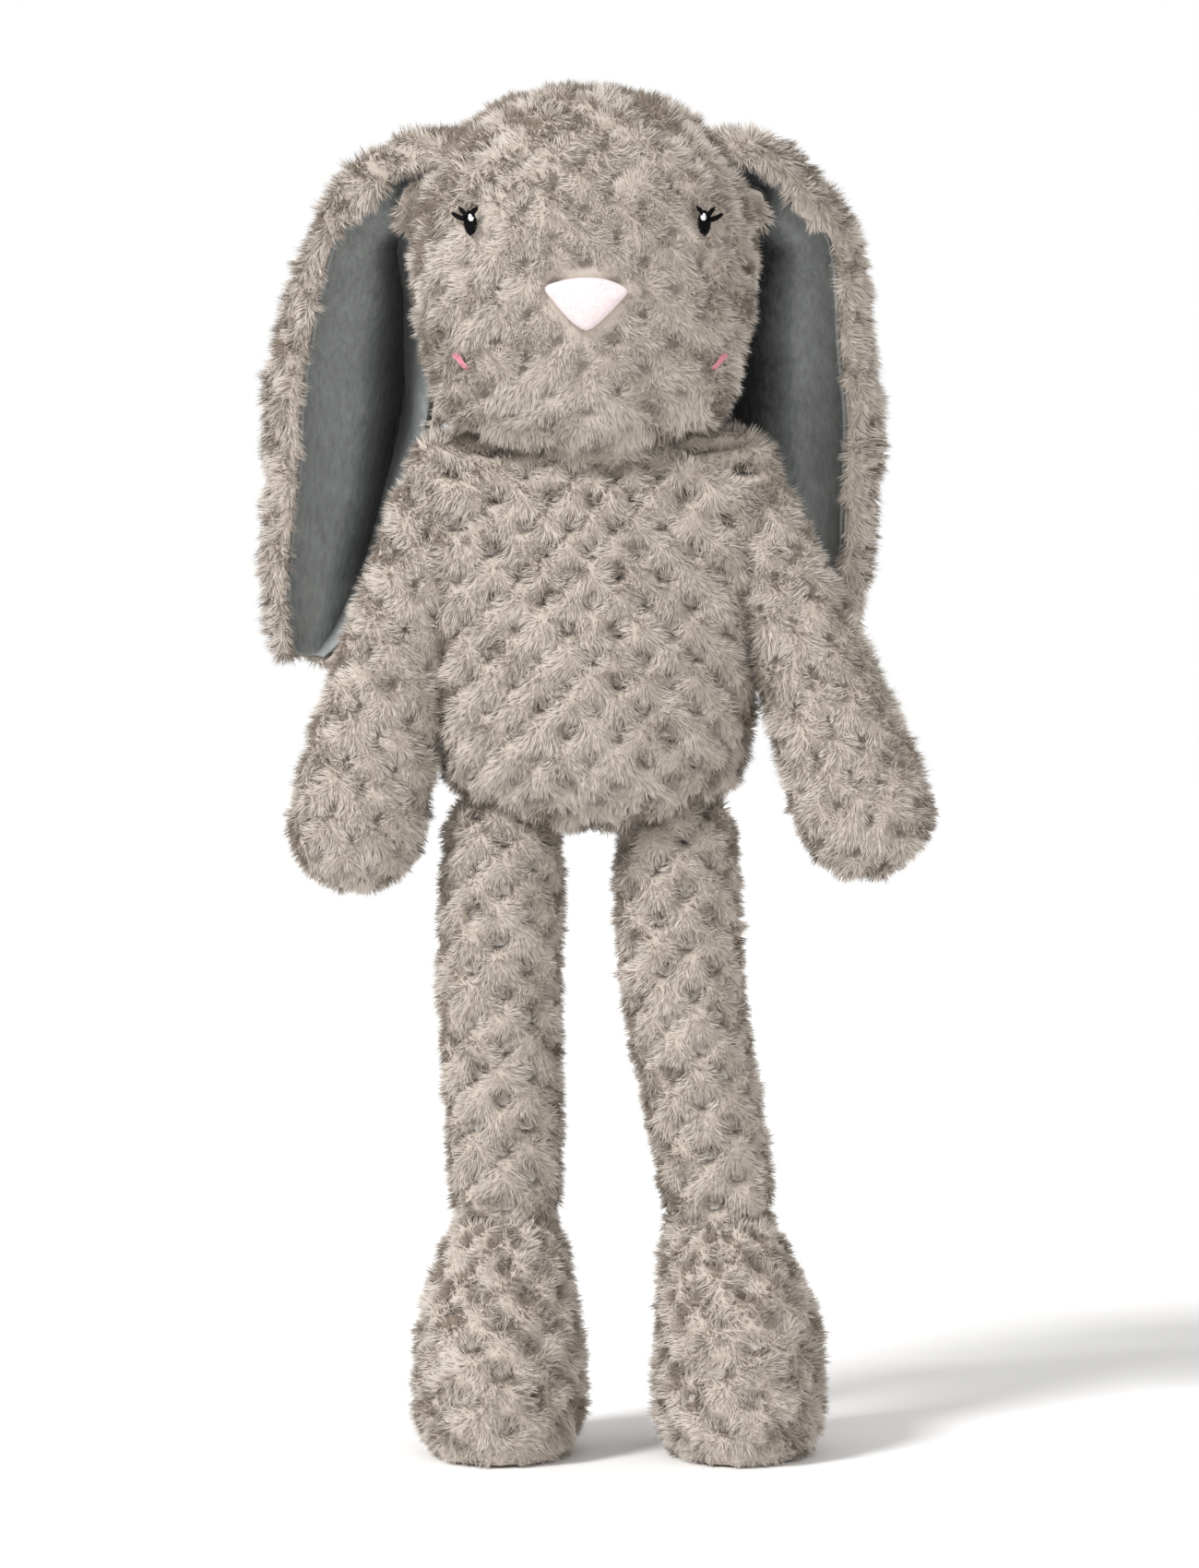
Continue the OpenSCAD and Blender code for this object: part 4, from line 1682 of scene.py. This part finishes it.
@dataclass
class Studio:
    """White backdrop, soft key light from the upper left and the camera."""

    distance: float = 1.9
    height: float = 0.262
    frame_height: float = 0.517
    aim: tuple[float, float] = (0.0015, 0.2175)
    ambient: float = 0.66
    floor_half: float = 9000.0

    def build(self) -> None:
        """Adds the floor, lights, world and camera."""
        corners = np.array([(-1, -1, 0), (1, -1, 0), (1, 1, 0), (-1, 1, 0)]) * self.floor_half
        floor = mesh_object("floor", corners, [(0, 1, 2, 3)])
        BOARD.on(floor)
        for name, kind, place, aim, size, power in (
            ("key", "SUN", (-1.1, -1.25, 1.5), (0, 0, 0.2), math.radians(14), 2.7),
            ("fill", "AREA", (0.6, -2.4, 0.9), (0, 0, 0.22), 1.6, 11.0),
        ):
            data = bpy.data.lights.new(name, kind)
            setattr(data, "angle" if kind == "SUN" else "size", size)
            data.energy = power
            light = bpy.data.objects.new(name, data)
            light.location = place
            light.rotation_euler = (Vector(aim) - Vector(place)).to_track_quat("-Z", "Y").to_euler()
            bpy.context.scene.collection.objects.link(light)
        scene = bpy.context.scene
        world = bpy.data.worlds.new("studio")
        world.use_nodes = True
        world.node_tree.nodes.clear()
        seen = add_node(world.node_tree, "ShaderNodeLightPath")
        strength = add_node(
            world.node_tree,
            "ShaderNodeMapRange",
            {"Value": seen.outputs["Is Camera Ray"], "To Min": self.ambient, "To Max": 1.0},
        )
        sky = add_node(
            world.node_tree,
            "ShaderNodeBackground",
            {"Color": (1, 1, 1, 1), "Strength": strength.outputs["Result"]},
        )
        add_node(world.node_tree, "ShaderNodeOutputWorld", {"Surface": sky.outputs["Background"]})
        scene.world = world
        scene.view_settings.view_transform = "Standard"
        data = bpy.data.cameras.new("camera")
        data.lens = data.sensor_width * self.distance / self.frame_height
        data.clip_end = 20
        camera = bpy.data.objects.new("camera", data)
        camera.location = (self.aim[0], -self.distance, self.height)
        target = Vector((self.aim[0], 0, self.aim[1]))
        camera.rotation_euler = (target - camera.location).to_track_quat("-Z", "Y").to_euler()
        scene.collection.objects.link(camera)
        scene.camera = camera


def stuff(parts: Sequence[Padded]) -> None:
    """Blows up all padded pieces in one run of Cloth.

    Args:
        parts: The pieces, whose bases get their stuffed shape.
    """
    for part in parts:
        part.remesh()
    for part in parts:
        part.add_cloth()
    scene = bpy.context.scene
    scene.frame_start, scene.frame_end = 1, SIM_FRAMES
    for number in range(1, SIM_FRAMES + 1):
        scene.frame_set(number)
    for part in parts:
        part.settle()


def limbs() -> list[Arm | Leg | Foot]:
    """Arms, legs and feet, each pair from its own pivots in millimetres."""
    hips = {Side.LEFT: (27.5, 0, 187), Side.RIGHT: (-30.0, 0, 187)}
    ankles = {Side.LEFT: (41.0, 0, 80), Side.RIGHT: (-28.5, 0, 80)}
    return [
        Arm(Side.LEFT, shoulder=(51.5, -2, 308), out=19, front=11),
        Arm(Side.RIGHT, shoulder=(-51.5, -2, 308), out=13, front=5),
        *(Leg(side, hips[side], ankles[side]) for side in Side),
        *(Foot(side, ankles[side]) for side in Side),
    ]


def ears() -> list[Ear]:
    """The two ears: the left one hangs closer in, with its fold turned further from the light and more of its
    lining in painted shade.
    """
    left = Ear(
        Side.LEFT,
        root=(54.5, 3, 427),
        out=-6,
        open_to=188.0,
        fold_at=138.0,
        fold_depth=26.0,
        flange=0.1,
        shaded=56.0,
    )
    return [left, Ear(Side.RIGHT, root=(-58.5, 2, 427), out=0)]


def main() -> None:
    """Builds the rabbit and its studio in order."""
    torso, neck, head = Torso(), Neck(), Head()
    parts = [part for maker in (torso, neck, head, *limbs()) for part in maker.padded()]
    stuff(parts)
    log.info("stuffed %d padded pieces", len(parts))
    made = {part.name: part.finish() for part in parts}
    strands = sum(len(piece[1].data.polygons) for piece in made.values())
    log.info("grew %d strands of pile", strands)
    torso.details(made["body"][0])
    head.details(made["head"][0])
    for ear in ears():
        ear.build(made["head"][0])
    Filling().dress()
    Studio().build()
    bpy.context.view_layer.update()


if __name__ == "__main__":
    logging.basicConfig(level=logging.INFO, stream=sys.stdout)
    main()
